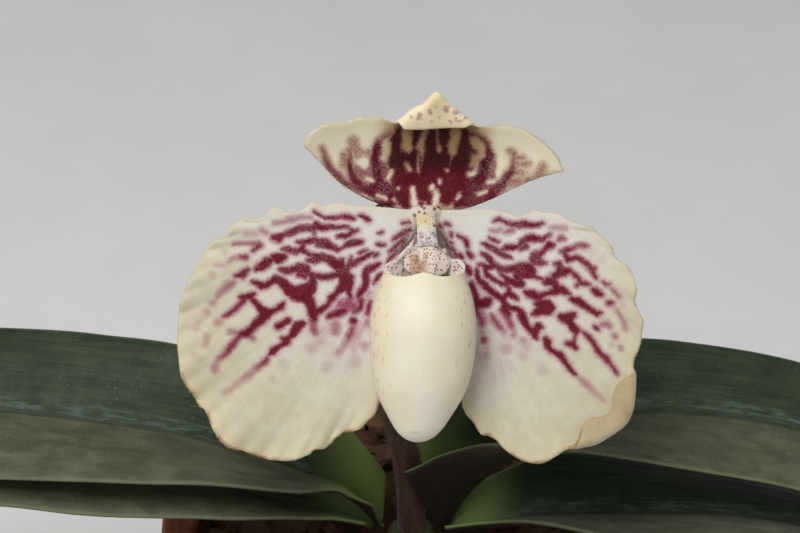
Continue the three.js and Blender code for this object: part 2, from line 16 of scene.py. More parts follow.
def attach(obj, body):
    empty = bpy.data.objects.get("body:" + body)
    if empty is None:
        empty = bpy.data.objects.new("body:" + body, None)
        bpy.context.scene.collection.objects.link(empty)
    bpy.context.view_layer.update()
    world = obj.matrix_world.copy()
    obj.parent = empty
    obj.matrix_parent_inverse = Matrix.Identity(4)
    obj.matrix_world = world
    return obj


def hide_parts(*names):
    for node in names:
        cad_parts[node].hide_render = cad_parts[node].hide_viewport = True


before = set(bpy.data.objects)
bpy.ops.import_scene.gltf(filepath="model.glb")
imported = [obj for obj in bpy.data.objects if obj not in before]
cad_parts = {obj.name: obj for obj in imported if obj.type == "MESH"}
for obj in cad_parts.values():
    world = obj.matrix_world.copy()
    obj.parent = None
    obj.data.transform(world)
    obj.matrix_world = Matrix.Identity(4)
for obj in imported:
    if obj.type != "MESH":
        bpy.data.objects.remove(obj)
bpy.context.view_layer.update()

MM = 0.001
TINY = 1e-12
HAIR_SCATTER = 0.35                    # how far a hair strays from its way, to one side
HAIR_SUNK = 0.15                       # how deep a hair starts in its skin
POT_HEIGHT = 78.0
POT_RIM_RADIUS = 44.0
POT_BASE_RADIUS = 30.0
POT_WALL = 3.2
POT_FLOOR = 5.0
COLLAR_FOOT = POT_HEIGHT - 15.0
DRAIN_RADIUS = 3.5
DRAIN_CIRCLE = 19.0
DRAIN_HOLES = 3
SOIL_LEVEL = 72.0
CROWN_RADIUS = 4.2
CROWN_TOP = SOIL_LEVEL + 3
CROWN_BOTTOM = SOIL_LEVEL - 12
ROOM = 0.3                             # the gap between the crown or a root and the mix round it
ROOTS = 5
ROOT_RADIUS = 1.5
ROOT_REACH = [(1, 6), (7, 10), (14, 20), (18, 34), (19, 46)]     # (distance from the axis, depth) pairs
GOLDEN_ANGLE = 2.39996
LEAF_THICKNESS = 1.2
SCAPE_RADIUS = 2.2
OVARY_RADIUS = 2.7
BLADE_THICKNESS = 0.8
RIM_THICKNESS = 0.34
BLADE_BASE_RADIUS = 1.0
COLUMN_RADIUS = 2.5
FLOWER_ORIGIN = np.array([2.0, -2.0, 146.0])
FLOWER_LIFT = math.radians(38)

# The camera looks squarely at the flower, whose origin lies a little right of and above the picture's middle.
CAMERA_DISTANCE = 400.0
CAMERA_AIM = (-3.97, -8.5)           # the picture's centre in the flower's own x and y
LENS = 113.4
SENSOR_WIDTH = 36.0
LIGHT_AIM = (0, -10, 0)


# ---------------------------------------------------------------- shape helpers

def smooth(value, low, high):
    """0 up to low, 1 from high on, and a soft step between them."""
    share = np.clip((np.asarray(value, float) - low) / (high - low), 0, 1)
    return share * share * (3 - 2 * share)


def flower_to_world(points):
    """Points (..., 3) of the flower's own frame, in the plant's frame."""
    x, y, z = np.moveaxis(np.asarray(points, float), -1, 0)
    sine, cosine = math.sin(FLOWER_LIFT), math.cos(FLOWER_LIFT)
    return np.stack([x, y * sine - z * cosine, y * cosine + z * sine], -1) + FLOWER_ORIGIN


class Curve:
    """A smooth curve through points (centripetal Catmull-Rom), read by its share of the length."""

    STEPS = 48

    def __init__(self, points):
        knots = np.array([tuple(p) + (0.0,) * (3 - len(p)) for p in points], float)
        ends = 2 * knots[[0, -1]] - knots[[1, -2]]
        chain = np.vstack([ends[:1], knots, ends[1:]])
        stretches = [self.stretch(chain[i:i + 4]) for i in range(len(chain) - 3)]
        self.points = np.vstack([knots[:1], *stretches])
        lengths = np.linalg.norm(np.diff(self.points, axis=0), axis=1)
        self.travelled = np.concatenate([[0], np.cumsum(lengths)])
        self.length = self.travelled[-1]

    def stretch(self, p):
        """Points between the middle two of four knots."""
        t = np.concatenate([[0], np.cumsum(np.linalg.norm(np.diff(p, axis=0), axis=1) ** 0.5)])
        at = np.linspace(t[1], t[2], self.STEPS + 1)[1:, None]

        def between(a, b, i, j):
            return ((t[j] - at) * a + (at - t[i]) * b) / (t[j] - t[i])

        first = [between(p[i], p[i + 1], i, i + 1) for i in range(3)]
        second = [between(first[i], first[i + 1], i, i + 2) for i in range(2)]
        return between(*second, 1, 2)

    def at(self, share):
        distance = np.clip(share, 0, 1) * self.length
        return np.stack([np.interp(distance, self.travelled, axis) for axis in self.points.T], -1)

    def tangent(self, share):
        step = 0.004
        ahead = self.at(np.minimum(share + step, 1)) - self.at(np.maximum(share - step, 0))
        return unit(ahead)


def along(pairs, at):
    """A smooth line through (position, value) pairs that never swings past them."""
    x, y = np.array(pairs, float).T
    step = np.diff(x)
    slope = np.diff(y) / step
    before, after = slope[:-1], slope[1:]
    middle = np.where(before * after > 0, 2 * before * after / (before + after + TINY), 0)
    tangents = np.concatenate([slope[:1], middle, slope[-1:]])
    at = np.clip(at, x[0], x[-1])
    i = np.clip(np.searchsorted(x, at, side="right") - 1, 0, len(step) - 1)
    t = (at - x[i]) / step[i]
    a, b, rise = tangents[i] * step[i], tangents[i + 1] * step[i], y[i + 1] - y[i]
    return y[i] + t * (a + t * (3 * rise - 2 * a - b + t * (a + b - 2 * rise)))


def value_noise(x, y, seed=0):
    """Smooth noise from -1 to 1 with one bump a unit."""
    cell_x, cell_y = np.floor(x), np.floor(y)
    fx, fy = x - cell_x, y - cell_y
    fx, fy = fx * fx * (3 - 2 * fx), fy * fy * (3 - 2 * fy)

    def corner(dx, dy):
        wave = np.sin((cell_x + dx) * 127.1 + (cell_y + dy) * 311.7 + seed * 74.7) * 43758.5453
        return 2 * (wave - np.floor(wave)) - 1

    low = corner(0, 0) * (1 - fx) + corner(1, 0) * fx
    high = corner(0, 1) * (1 - fx) + corner(1, 1) * fx
    return low * (1 - fy) + high * fy


def mesh_object(name, points, faces, attributes=None, smooth_faces=True):
    """A mesh from points in millimetres, with the named numbers kept at its points."""
    mesh = bpy.data.meshes.new(name)
    mesh.from_pydata((np.asarray(points) * MM).tolist(), [], [tuple(map(int, f)) for f in faces])
    mesh.polygons.foreach_set("use_smooth", [smooth_faces] * len(mesh.polygons))
    for key, values in (attributes or {}).items():
        values = np.asarray(values, np.float32)
        if values.ndim == 1:
            mesh.attributes.new(key, "FLOAT", "POINT").data.foreach_set("value", values)
        else:
            mesh.attributes.new(key, "FLOAT_VECTOR", "POINT").data.foreach_set("vector", values.ravel())
    mesh.update()
    piece = bpy.data.objects.new(name, mesh)
    bpy.context.scene.collection.objects.link(piece)
    return piece


def unit(vectors):
    return vectors / np.maximum(np.linalg.norm(vectors, axis=-1, keepdims=True), TINY)


def rotation(axis, angle):
    """The matrix of a turn by an angle about x (0), y (1) or z (2)."""
    a, b = (axis + 1) % 3, (axis + 2) % 3
    turn = np.eye(3)
    turn[a, a] = turn[b, b] = math.cos(angle)
    turn[b, a] = math.sin(angle)
    turn[a, b] = -math.sin(angle)
    return turn


def surface_normals(grid):
    rows = np.gradient(grid, axis=0)
    columns = np.gradient(grid, axis=1)
    return unit(np.cross(columns, rows))


def closed_sheet(name, middle, half, attributes=None):
    """A closed sheet round the grid middle (rows, columns, 3). half is half its thickness at each point.

    Each attribute is a grid for the front, and the back gets the same numbers; "back" marks the back itself.
    """
    rows, columns = middle.shape[:2]
    normals = surface_normals(middle)
    front = middle + normals * half[..., None]
    back = middle - normals * half[..., None]
    points = np.concatenate([front.reshape(-1, 3), back.reshape(-1, 3)])
    index = np.arange(rows * columns).reshape(rows, columns)
    quads = np.stack([index[:-1, :-1], index[:-1, 1:], index[1:, 1:], index[1:, :-1]], -1).reshape(-1, 4)
    other = rows * columns
    rim = np.concatenate([index[0, :-1], index[:-1, -1], index[-1, :0:-1], index[:0:-1, 0]])
    following = np.roll(rim, -1)
    sides = np.stack([following, rim, rim + other, following + other], -1)
    faces = np.concatenate([quads, quads[:, ::-1] + other, sides])
    kept = {}
    for key, values in (attributes or {}).items():
        flat = np.asarray(values).reshape(other, -1).squeeze()
        kept[key] = np.concatenate([flat, flat])
    kept["back"] = np.concatenate([np.zeros(other), np.ones(other)])
    return mesh_object(name, points, faces, kept)


def ring_body(first, rings, last):
    """Points and faces of a closed body from a first point, rings (count, around, 3) and a last point."""
    count, around = rings.shape[:2]
    points = np.vstack([first[None], rings.reshape(-1, 3), last[None]])
    index = 1 + np.arange(count * around).reshape(count, around)
    turned = np.roll(index, -1, axis=1)
    body = np.stack([index[:-1], turned[:-1], turned[1:], index[1:]], -1).reshape(-1, 4).tolist()
    start = [(0, b, a) for a, b in zip(index[0], turned[0])]
    finish = [(a, b, len(points) - 1) for a, b in zip(index[-1], turned[-1])]
    return points, start + body + finish


def outward(points, faces):
    """The faces, turned if need be so that they look out of the body."""
    volume = sum(np.dot(points[f[0]], np.cross(points[f[k]], points[f[k + 1]]))
                 for f in faces for k in range(1, len(f) - 1))
    return faces if volume > 0 else [tuple(reversed(f)) for f in faces]


def round_stem(tangent):
    """Two directions across a stem that runs along the tangent."""
    side = unit(np.cross(tangent, [0.3, 1.0, 0.1]))
    return side, np.cross(tangent, side)


def stem_rings(curve, radius, steps, sides):
    """Rings round a curve, with radius(t, angle), and with no twist along it."""
    t = np.linspace(0, 1, steps + 1)
    centres, tangents = curve.at(t), curve.tangent(t)
    side, _ = round_stem(tangents[0])
    angles = np.linspace(0, 2 * np.pi, sides, endpoint=False)
    rings = []
    for share, centre, tangent in zip(t, centres, tangents):
        side = unit(side - tangent * np.dot(side, tangent))
        other = np.cross(tangent, side)
        reach = radius(share, angles)[:, None] * np.ones((sides, 1))
        rings.append(centre + reach * (np.cos(angles)[:, None] * side + np.sin(angles)[:, None] * other))
    return centres, np.array(rings)


def stem(name, curve, radius, steps, sides):
    """A closed body round a curve, with radius(t, angle)."""
    centres, rings = stem_rings(curve, radius, steps, sides)
    points, faces = ring_body(centres[0], rings, centres[-1])
    return mesh_object(name, points, outward(points, faces))


def ellipsoid(around, rows):
    """Points and faces of a unit sphere, whose rings lie round z."""
    angle = np.linspace(0, 2 * np.pi, around, endpoint=False)
    tilt = np.linspace(0, np.pi, rows + 2)[1:-1, None]
    rings = np.stack([np.sin(tilt) * np.cos(angle), np.sin(tilt) * np.sin(angle),
                      np.cos(tilt) * np.ones(around)], -1)
    return ring_body(np.array([0, 0, 1.0]), rings, np.array([0, 0, -1.0]))


def flower_body(name, points, faces, attributes):
    """A closed body from points in the flower's frame."""
    world = flower_to_world(points)
    return mesh_object(name, world, outward(world, faces), attributes)


def combine(piece, other, operation):
    """Joins the other body to the piece or cuts it out of it, as the operation says."""
    step = piece.modifiers.new("combine", "BOOLEAN")
    step.operation = operation
    step.object = other
    bpy.context.view_layer.objects.active = piece
    bpy.ops.object.modifier_apply(modifier=step.name)
    bpy.data.objects.remove(other)


def join(piece, *others):
    """The others' geometry becomes part of piece."""
    bpy.ops.object.select_all(action="DESELECT")
    for item in (piece, *others):
        item.select_set(True)
    bpy.context.view_layer.objects.active = piece
    bpy.ops.object.join()


def hairs(name, roots, directions, length, width, seed):
    """Short fine hairs as closed three-sided spikes, each sunk a little into what it grows on."""
    draw = np.random.default_rng(seed)
    count = len(roots)
    lean = unit(directions + draw.normal(0, HAIR_SCATTER, (count, 3)))
    across = unit(np.cross(lean, draw.normal(0, 1, (count, 3))))
    other = np.cross(lean, across)
    size = length * draw.uniform(0.6, 1.2, count)[:, None]
    corners = [roots - lean * HAIR_SUNK + width * (np.cos(turn) * across + np.sin(turn) * other)
               for turn in (0, 2 * np.pi / 3, 4 * np.pi / 3)]
    points = np.stack([*corners, roots + lean * size], 1).reshape(-1, 3)
    spike = np.array([(0, 2, 1), (0, 1, 3), (1, 2, 3), (2, 0, 3)])
    faces = (4 * np.arange(count)[:, None, None] + spike).reshape(-1, 3)
    return mesh_object(name, points, faces)


# ---------------------------------------------------------------- material helper

class Finish:
    """A node material, built up call by call. Sockets are passed about as outputs or plain numbers."""

    def __init__(self, name):
        self.material = bpy.data.materials.new(name)
        self.material.use_nodes = True
        self.tree = self.material.node_tree
        self.surface = self.tree.nodes["Principled BSDF"]

    def put(self, kind, inputs=None, output=0, **settings):
        node = self.tree.nodes.new(kind)
        for key, value in settings.items():
            setattr(node, key, value)
        for key, value in (inputs or {}).items():
            self.set(node.inputs[key], value)
        return node.outputs[output]

    def set(self, socket, value):
        if isinstance(value, bpy.types.NodeSocket):
            self.tree.links.new(value, socket)
        elif socket.type == "RGBA" and len(value) == 3:
            socket.default_value = (*value, 1)
        else:
            socket.default_value = value

    def number(self, name):
        """A number kept at the mesh's points."""
        return self.put("ShaderNodeAttribute", attribute_name=name, output="Fac")

    def place(self, name="flat"):
        """A vector kept at the mesh's points."""
        return self.put("ShaderNodeAttribute", attribute_name=name, output="Vector")

    def place_in_mm(self):
        """The place in the piece's own space, in millimetres."""
        return self.scaled(self.put("ShaderNodeTexCoord", output="Object"), *[1 / MM] * 3)

    def scaled(self, vector, x, y, z):
        return self.put("ShaderNodeMapping", {"Vector": vector, "Scale": (x, y, z)})

    def noise(self, vector, scale, detail=3.0, roughness=0.55, distortion=0.0):
        inputs = {"Vector": vector, "Scale": scale, "Detail": detail, "Roughness": roughness,
                  "Distortion": distortion}
        return self.put("ShaderNodeTexNoise", inputs, output="Fac")

    def cells(self, vector, scale):
        """The distance to the nearest of the scattered cell centres."""
        return self.put("ShaderNodeTexVoronoi", {"Vector": vector, "Scale": scale}, output="Distance")

    def dots(self, vector, scale, radius):
        """1 inside scattered dots, and 0 between them."""
        return self.math("LESS_THAN", self.cells(vector, scale), radius)

    def cell_value(self, vector, scale):
        """One number for each cell."""
        colour = self.put("ShaderNodeTexVoronoi", {"Vector": vector, "Scale": scale}, output="Color")
        return self.put("ShaderNodeSeparateColor", {"Color": colour}, output="Red")

    def math(self, operation, a, b=0.0):
        return self.put("ShaderNodeMath", {0: a, 1: b}, operation=operation)

    def plus(self, a, b):
        return self.math("ADD", a, b)

    def times(self, product, *factors):
        for factor in factors:
            product = self.math("MULTIPLY", product, factor)
        return product

    def rest(self, share):
        return self.math("SUBTRACT", 1.0, share)

    def ramp(self, value, low, high, to_low=0.0, to_high=1.0):
        """A soft step from to_low, where the value is low, to to_high."""
        inputs = {"Value": value, "From Min": low, "From Max": high, "To Min": to_low, "To Max": to_high}
        return self.put("ShaderNodeMapRange", inputs, interpolation_type="SMOOTHSTEP")

    def mix(self, share, a, b):
        return self.put("ShaderNodeMix", {0: share, 6: a, 7: b}, 2, data_type="RGBA")

    def over(self, ground, colour, *shares):
        """The colour laid over the ground, as strongly as the product of the shares."""
        return self.mix(self.times(*shares), ground, colour)

    def bump(self, height, distance, strength):
        return self.put("ShaderNodeBump", {"Height": height, "Distance": distance, "Strength": strength})

    def finish(self, **inputs):
        for key, value in inputs.items():
            self.set(self.surface.inputs[key.replace("_", " ")], value)
        return self.material


def paint(piece, finish, node):
    """Gives a piece its one material, hangs it on the root body and hides the CAD node that it stands for."""
    piece.data.materials.clear()
    piece.data.materials.append(finish)
    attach(piece, "root")
    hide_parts(node)


# ---------------------------------------------------------------- marks on the flower

BROAD_BEND, FINE_BEND = 1.3, 0.5       # how far apart the bends of a stroke's edge lie
FAR_OUTSIDE = -9.0


def strokes_depth(x, y, strokes, warp, seed):
    """How deep each point lies inside the strokes (more than 0 is inside one), and their strength there.

    A stroke is its strength and then its points, each (x, y, width). warp bends the lines a little.
    """
    x = x + warp * (value_noise(x / BROAD_BEND, y / BROAD_BEND, seed)
                    + value_noise(x / FINE_BEND, y / FINE_BEND, seed + 3) / 2)
    y = y + warp * (value_noise(x / BROAD_BEND + 40, y / BROAD_BEND, seed + 1)
                    + value_noise(x / FINE_BEND, y / FINE_BEND, seed + 5) / 2)
    deepest = np.full(x.shape, FAR_OUTSIDE)
    strength, weight = np.zeros(x.shape), np.full(x.shape, 1e-9)
    for force, *points in strokes:
        depth = np.full(x.shape, FAR_OUTSIDE)
        for (ax, ay, a_width), (bx, by, b_width) in zip(points, points[1:] or points):
            along_x, along_y = bx - ax, by - ay
            span = along_x ** 2 + along_y ** 2 + TINY
            share = np.clip(((x - ax) * along_x + (y - ay) * along_y) / span, 0, 1)
            off = np.hypot(x - ax - share * along_x, y - ay - share * along_y)
            depth = np.maximum(depth, (a_width + share * (b_width - a_width)) / 2 - off)
        nearness = np.exp(5 * np.clip(depth, -3, 0.6))
        strength += force * nearness
        weight += nearness
        deepest = np.maximum(deepest, depth)
    return deepest, strength / weight


# Marks are read in the flower's own x and y, in millimetres: (strength, (x, y, width), ...).
LEFT_MARKS = [
    (1, (-17.5, .2, .4), (-16.6, -.4, .5), (-15.8, -.8, .7), (-13.6, -.65, .6), (-12.4, -.6, .7),
        (-11.2, -.9, .5)), (1, (-10.4, -.4, .5), (-9.9, -.5, .6), (-9.3, -.9, .8), (-8.9, -1.1, .6)),
    (.45, (-24, -1.5, .4), (-22.5, -1.5, .5), (-21, -1, .8), (-19.8, -.8, .5), (-18.2, -.8, .4)),
    (.75, (-24.2, -3.9, .9), (-23.2, -4, 1.5), (-22.4, -3.5, .8)),
    (.95, (-22.4, -3.5, .7), (-21.2, -3.1, 1.1), (-20, -2.5, 1), (-18.8, -2.4, 1), (-17.8, -2.6, 1.1),
        (-17.4, -1.7, .6)), (.6, (-17.6, -2.8, .8), (-17.7, -3.5, .5)),
    (1, (-17.2, -1.7, .5), (-16.9, -2.3, .9), (-15.8, -2.5, 1), (-14.8, -2.2, .9), (-13.6, -2.3, .7),
        (-12.2, -2.2, .6)), (1, (-12, -2.6, .4), (-11.4, -3, .8), (-10.8, -2.8, .6)),
    (.95, (-13.8, -3.7, .6), (-12.8, -3.8, .9), (-12.1, -3.5, .7), (-11.5, -3, .7)),
    (1, (-20.2, -4.6, .6), (-19.2, -4.6, .8), (-18.2, -4.5, .9), (-17.4, -4.3, .9), (-16.8, -4.7, 1.5),
        (-15.6, -4.9, 1.4), (-14.6, -5.4, 1.1), (-13.8, -5.9, .9), (-13.2, -5.6, .6), (-12.4, -5, .8),
        (-11.4, -4.6, 1.3), (-10.2, -4.6, .9)),
    (.95, (-22.6, -5.8, .6), (-21.6, -5.9, 1.1), (-20.6, -6.1, 1), (-19.6, -5.8, .9), (-18.8, -6.2, .8),
        (-18, -6.6, .6)), (.9, (-19.4, -4.8, .8), (-19.6, -5.8, .8)),
    (1, (-18, -6.6, .6), (-17.2, -6.9, .8)),
    (1, (-18.4, -7.5, .9), (-17.4, -7.4, 1.3), (-16.2, -7, 1.3), (-15.2, -7.4, 1.4), (-14.5, -8, 1.6),
        (-13.6, -8.6, 1.8), (-13, -9.6, 2), (-12.6, -10.6, 1.9), (-12.9, -11.6, 1.7), (-13.6, -12.2, 1.2)),
    (1, (-13.2, -7.6, .9), (-13.2, -8.4, 1.2)),
    (1, (-12, -10.2, 1.4), (-11.8, -11.4, 1), (-12.2, -12.4, 1)),
    (.75, (-12.2, -12.4, .9), (-11.9, -13.3, .8)),
    (1, (-22.8, -9, .8), (-22, -9.1, 1.2), (-20.6, -9, 1.1), (-19.8, -8.8, 1.7), (-19, -8.9, 1.6),
        (-18.6, -9.5, 1), (-17.6, -9.9, .8), (-16.4, -10.2, 1), (-15.2, -10.2, 1), (-14.2, -9.9, 1),
        (-13.2, -9.7, 1.2)), (.9, (-20, -9.8, .8), (-18.9, -10.1, .8)),
    (.95, (-24, -7, .8), (-23.2, -7.2, 1.7), (-22.4, -7, 1)),
    (.95, (-26.9, -8.9, .7), (-26, -8.5, 1.3), (-25, -7.9, 1.6), (-24.4, -7.6, .9)),
    (.8, (-29.9, -10, .6), (-29, -9.8, 1.2), (-28.4, -9.2, .9), (-28, -8.9, .5)),
    (.95, (-27.4, -11, .5), (-26.6, -11.2, .8), (-25.8, -11.6, 1.2), (-25.1, -11.6, 1), (-24.5, -11, 1.1),
        (-23.8, -10.6, 1.3), (-22.8, -10.9, 1.6), (-22, -11.6, 1.6), (-21.2, -12.4, 2)),
    (1, (-21.2, -12.4, 2), (-20.2, -12.8, 2.6), (-19.2, -12.6, 2.8), (-18.3, -12, 2.2), (-17.8, -11.2, 1.4),
        (-17.7, -10.2, 1.1)),
    (1, (-19, -13.2, 2), (-18.3, -14, 1.6), (-18, -15, 1.4), (-17.8, -16, 1.6), (-17.6, -16.8, 1)),
    (1, (-20.8, -13.2, 1.4)),
    (1, (-17.8, -15.8, 1.2), (-16.8, -15.6, 1.1), (-16, -15.1, .9), (-15.4, -14.6, .6), (-15.1, -13.8, .7),
        (-14.8, -13.4, 1.2), (-14.2, -13, .9), (-13.7, -12.3, .9)),
    (.55, (-17.8, -17, 1), (-17.7, -18, .9), (-17.5, -18.9, 1)),
    (1, (-12.4, -9.4, 1.2), (-12.2, -8.8, .9), (-11.9, -8.1, .9), (-11.2, -8, 1.2), (-10.4, -7.6, 1),
        (-9.6, -7.2, .9), (-8.8, -6.7, .8), (-8.2, -6.5, .6)), (1, (-11.8, -7.2, .5), (-11.9, -8, .7)),
    (1, (-8, -6.9, .5), (-7.6, -6.6, .6)), (1, (-10.4, -6.3, .5), (-9.8, -6.1, .6), (-9.2, -5.9, .5)),
    (1, (-7.4, -3.2, .4), (-6.9, -3.1, .45)), (1, (-7.5, -5, .5), (-6.9, -5.1, .6), (-6.4, -5, .45)),
    (1, (-3.7, -1.6, .4), (-3, -1.5, .45), (-2.4, -1.4, .4)),
    (.9, (-5, -3.9, .3), (-4, -3.4, .4), (-3.4, -2.9, .35), (-2.2, -2.7, .3)),
    (.95, (-5.8, -6.2, .3), (-5.2, -5.6, .4), (-4.6, -5, .45)), (.75, (-5.5, -6.9, .3), (-5.2, -7.2, .3)),
    (.95, (-3.9, -3.3, .4), (-3.4, -4, .6), (-3.5, -5, .8), (-3.4, -6, .6), (-3.6, -7, .6), (-3.9, -8, .8)),
    (1, (-7.4, -8.1, .7), (-8.2, -8.6, 1), (-9.2, -9.2, 1.2), (-9.5, -10, 1.2), (-9.3, -10.8, 1.2),
        (-9.6, -11.8, .9), (-10.2, -12.6, .9), (-10.6, -13.2, .7)),
    (1, (-7.2, -9.8, .6), (-7.6, -10.4, .7), (-8, -11.2, .4)),
    (.95, (-8.7, -14.1, .4), (-8.9, -15, .5), (-9.1, -16, .4)), (.4, (-9.1, -17.5, .4)),
    (.9, (-29.2, -13.4, .8), (-28.2, -13.4, 1), (-27.4, -13.1, 1), (-26.9, -12.9, .6)),
    (.9, (-27.4, -13.6, .8), (-26.6, -14.4, 1), (-25.8, -15.4, 1.3), (-25, -16, 1.8), (-24, -15.6, .9),
        (-23.2, -15.2, .9), (-22.8, -14.9, 1.3), (-22.4, -14.4, .8)),
    (.85, (-25.2, -16.2, 1.9), (-26, -17, 1.5), (-26.8, -17.6, 1.3), (-27.4, -18.4, 1.1),
        (-28.2, -19.1, 1.2), (-29, -19.1, .9)),
    (.65, (-29, -19.1, .9), (-29.6, -19.8, .8), (-30.3, -20.8, 1), (-31, -21.6, .9), (-31.6, -22.2, .7),
        (-32.2, -22.8, .8)), (.4, (-32.2, -22.8, .7), (-32.8, -23.6, .5), (-33.2, -24.5, 1)),
    (.45, (-30.8, -18.8, .5), (-30, -18.9, .7)), (.6, (-27.2, -19.9, .4), (-27.9, -19.4, .6)),
    (.7, (-31.8, -16.5, .5), (-31.2, -16.1, .8), (-30.2, -15.5, .9), (-29.4, -14.6, .8), (-28.8, -13.9, 1)),
    (.85, (-23.2, -18, 1.2), (-22.4, -17.6, .8), (-21.7, -17.1, 1.1)),
    (1, (-19.4, -17.6, 1), (-20.2, -18, 1.6), (-20.7, -18.9, 1.3), (-21.4, -19.6, .8), (-22, -20.3, 1.4),
        (-22.6, -20.9, .7)),
    (.95, (-22.6, -20.9, .7), (-23.3, -21.4, .9), (-23.9, -22, 1.2), (-24.4, -22.4, .6)),
    (.8, (-22, -20.2, .9), (-22.7, -19.8, .5)),
    (.65, (-24.9, -23, .6), (-25.3, -23.6, 1), (-25.9, -24.1, .7), (-26.5, -24.5, .9)),
    (.4, (-26.5, -24.5, .8), (-27.2, -25.2, .7), (-27.8, -25.7, .9), (-28.6, -26.3, .8)),
    (.28, (-28.6, -26.3, .8), (-29.6, -27, .8), (-30.6, -27.8, .7), (-31.6, -28.4, .6)),
    (.6, (-30.2, -5, .35), (-28.8, -4.9, .4), (-27.4, -4.9, .5), (-26.4, -4.9, .6)),
    (.85, (-26.2, -5.2, .9), (-27, -5.9, .8), (-27.3, -6.1, .5)),
    (.45, (-25.8, -2.7, .5), (-25.2, -3.1, .5)), (.28, (-28.4, -3.3, .4), (-26.8, -3.3, .4)),
    (.7, (-28.4, -7.1, 1), (-29.2, -7.1, .7)), (.4, (-29.6, -7.2, .5), (-30.4, -7.3, .6), (-31, -7.8, .4)),
    (.28, (-33, -8.4, .4), (-31.8, -8.4, .4)), (.5, (-30.4, -11.2, .7), (-31.4, -11.6, 1)),
    (.4, (-31.4, -11.6, .9), (-32.4, -12.6, .7), (-32.8, -13.2, .6)), (.35, (-33.4, -14.2, .8)),
    (.28, (-34.4, -15.7, .7)), (.2, (-33.6, -9.8, .6)), (.2, (-31.7, -6.2, .5)),
    (.3, (-34.3, -19.6, .5), (-34.6, -20.8, .5)), (.35, (-32.6, -17.4, 1.1)), (.2, (-35.7, -17.4, .6)),
    (.2, (-36, -18.3, .7)), (.15, (-35.5, -23.1, .5)), (.15, (-36.3, -22.6, .5)),
    (.75, (-15.2, -16.4, 1), (-14.6, -16.3, 1), (-13.4, -15.8, 1.1), (-12.6, -15.6, .9)),
    (1, (-13.6, -15.6, .6)), (.42, (-14.1, -17.8, 1.2), (-14.2, -18.8, 1.2)), (.85, (-11.4, -17.1, 1.2)),
    (.6, (-11.5, -18.4, .6), (-11.7, -19.2, .8), (-12.1, -19.8, .8)),
    (.35, (-12.4, -20.4, .6), (-13.2, -21.6, .6), (-13.8, -22.2, .8)), (.3, (-9.6, -21.2, 1)),
    (.2, (-18, -21.4, 1.4)), (.2, (-16.8, -20.4, 1)),
    (.7, (-11.2, -15.7, .7), (-10.4, -15, .9), (-10.2, -13.9, .9)),
    (.5, (-13.4, -14.4, .8), (-12.2, -14.6, 1.7), (-11.2, -15, 1.2)), (.12, (-22.4, -24, 1.2)),
    (.12, (-24.2, -26.3, .7)), (.16, (-11, -23.5, 1.4)), (.14, (-15.5, -24.5, 1.5)),
    (1, (-5.1, -4.2, .35), (-3.6, -3.4, .6), (-2.3, -2.7, .4)),
    (1, (-5.5, -6.1, .4), (-4.5, -5.1, .6), (-3.3, -4.2, .4)),
    (1, (-6, -7.8, .4), (-5.2, -6.9, .55), (-4.5, -6.2, .4)),
    (.9, (-4.4, -7.7, .35), (-3.6, -6.3, .5), (-2.9, -5.3, .3)),
]

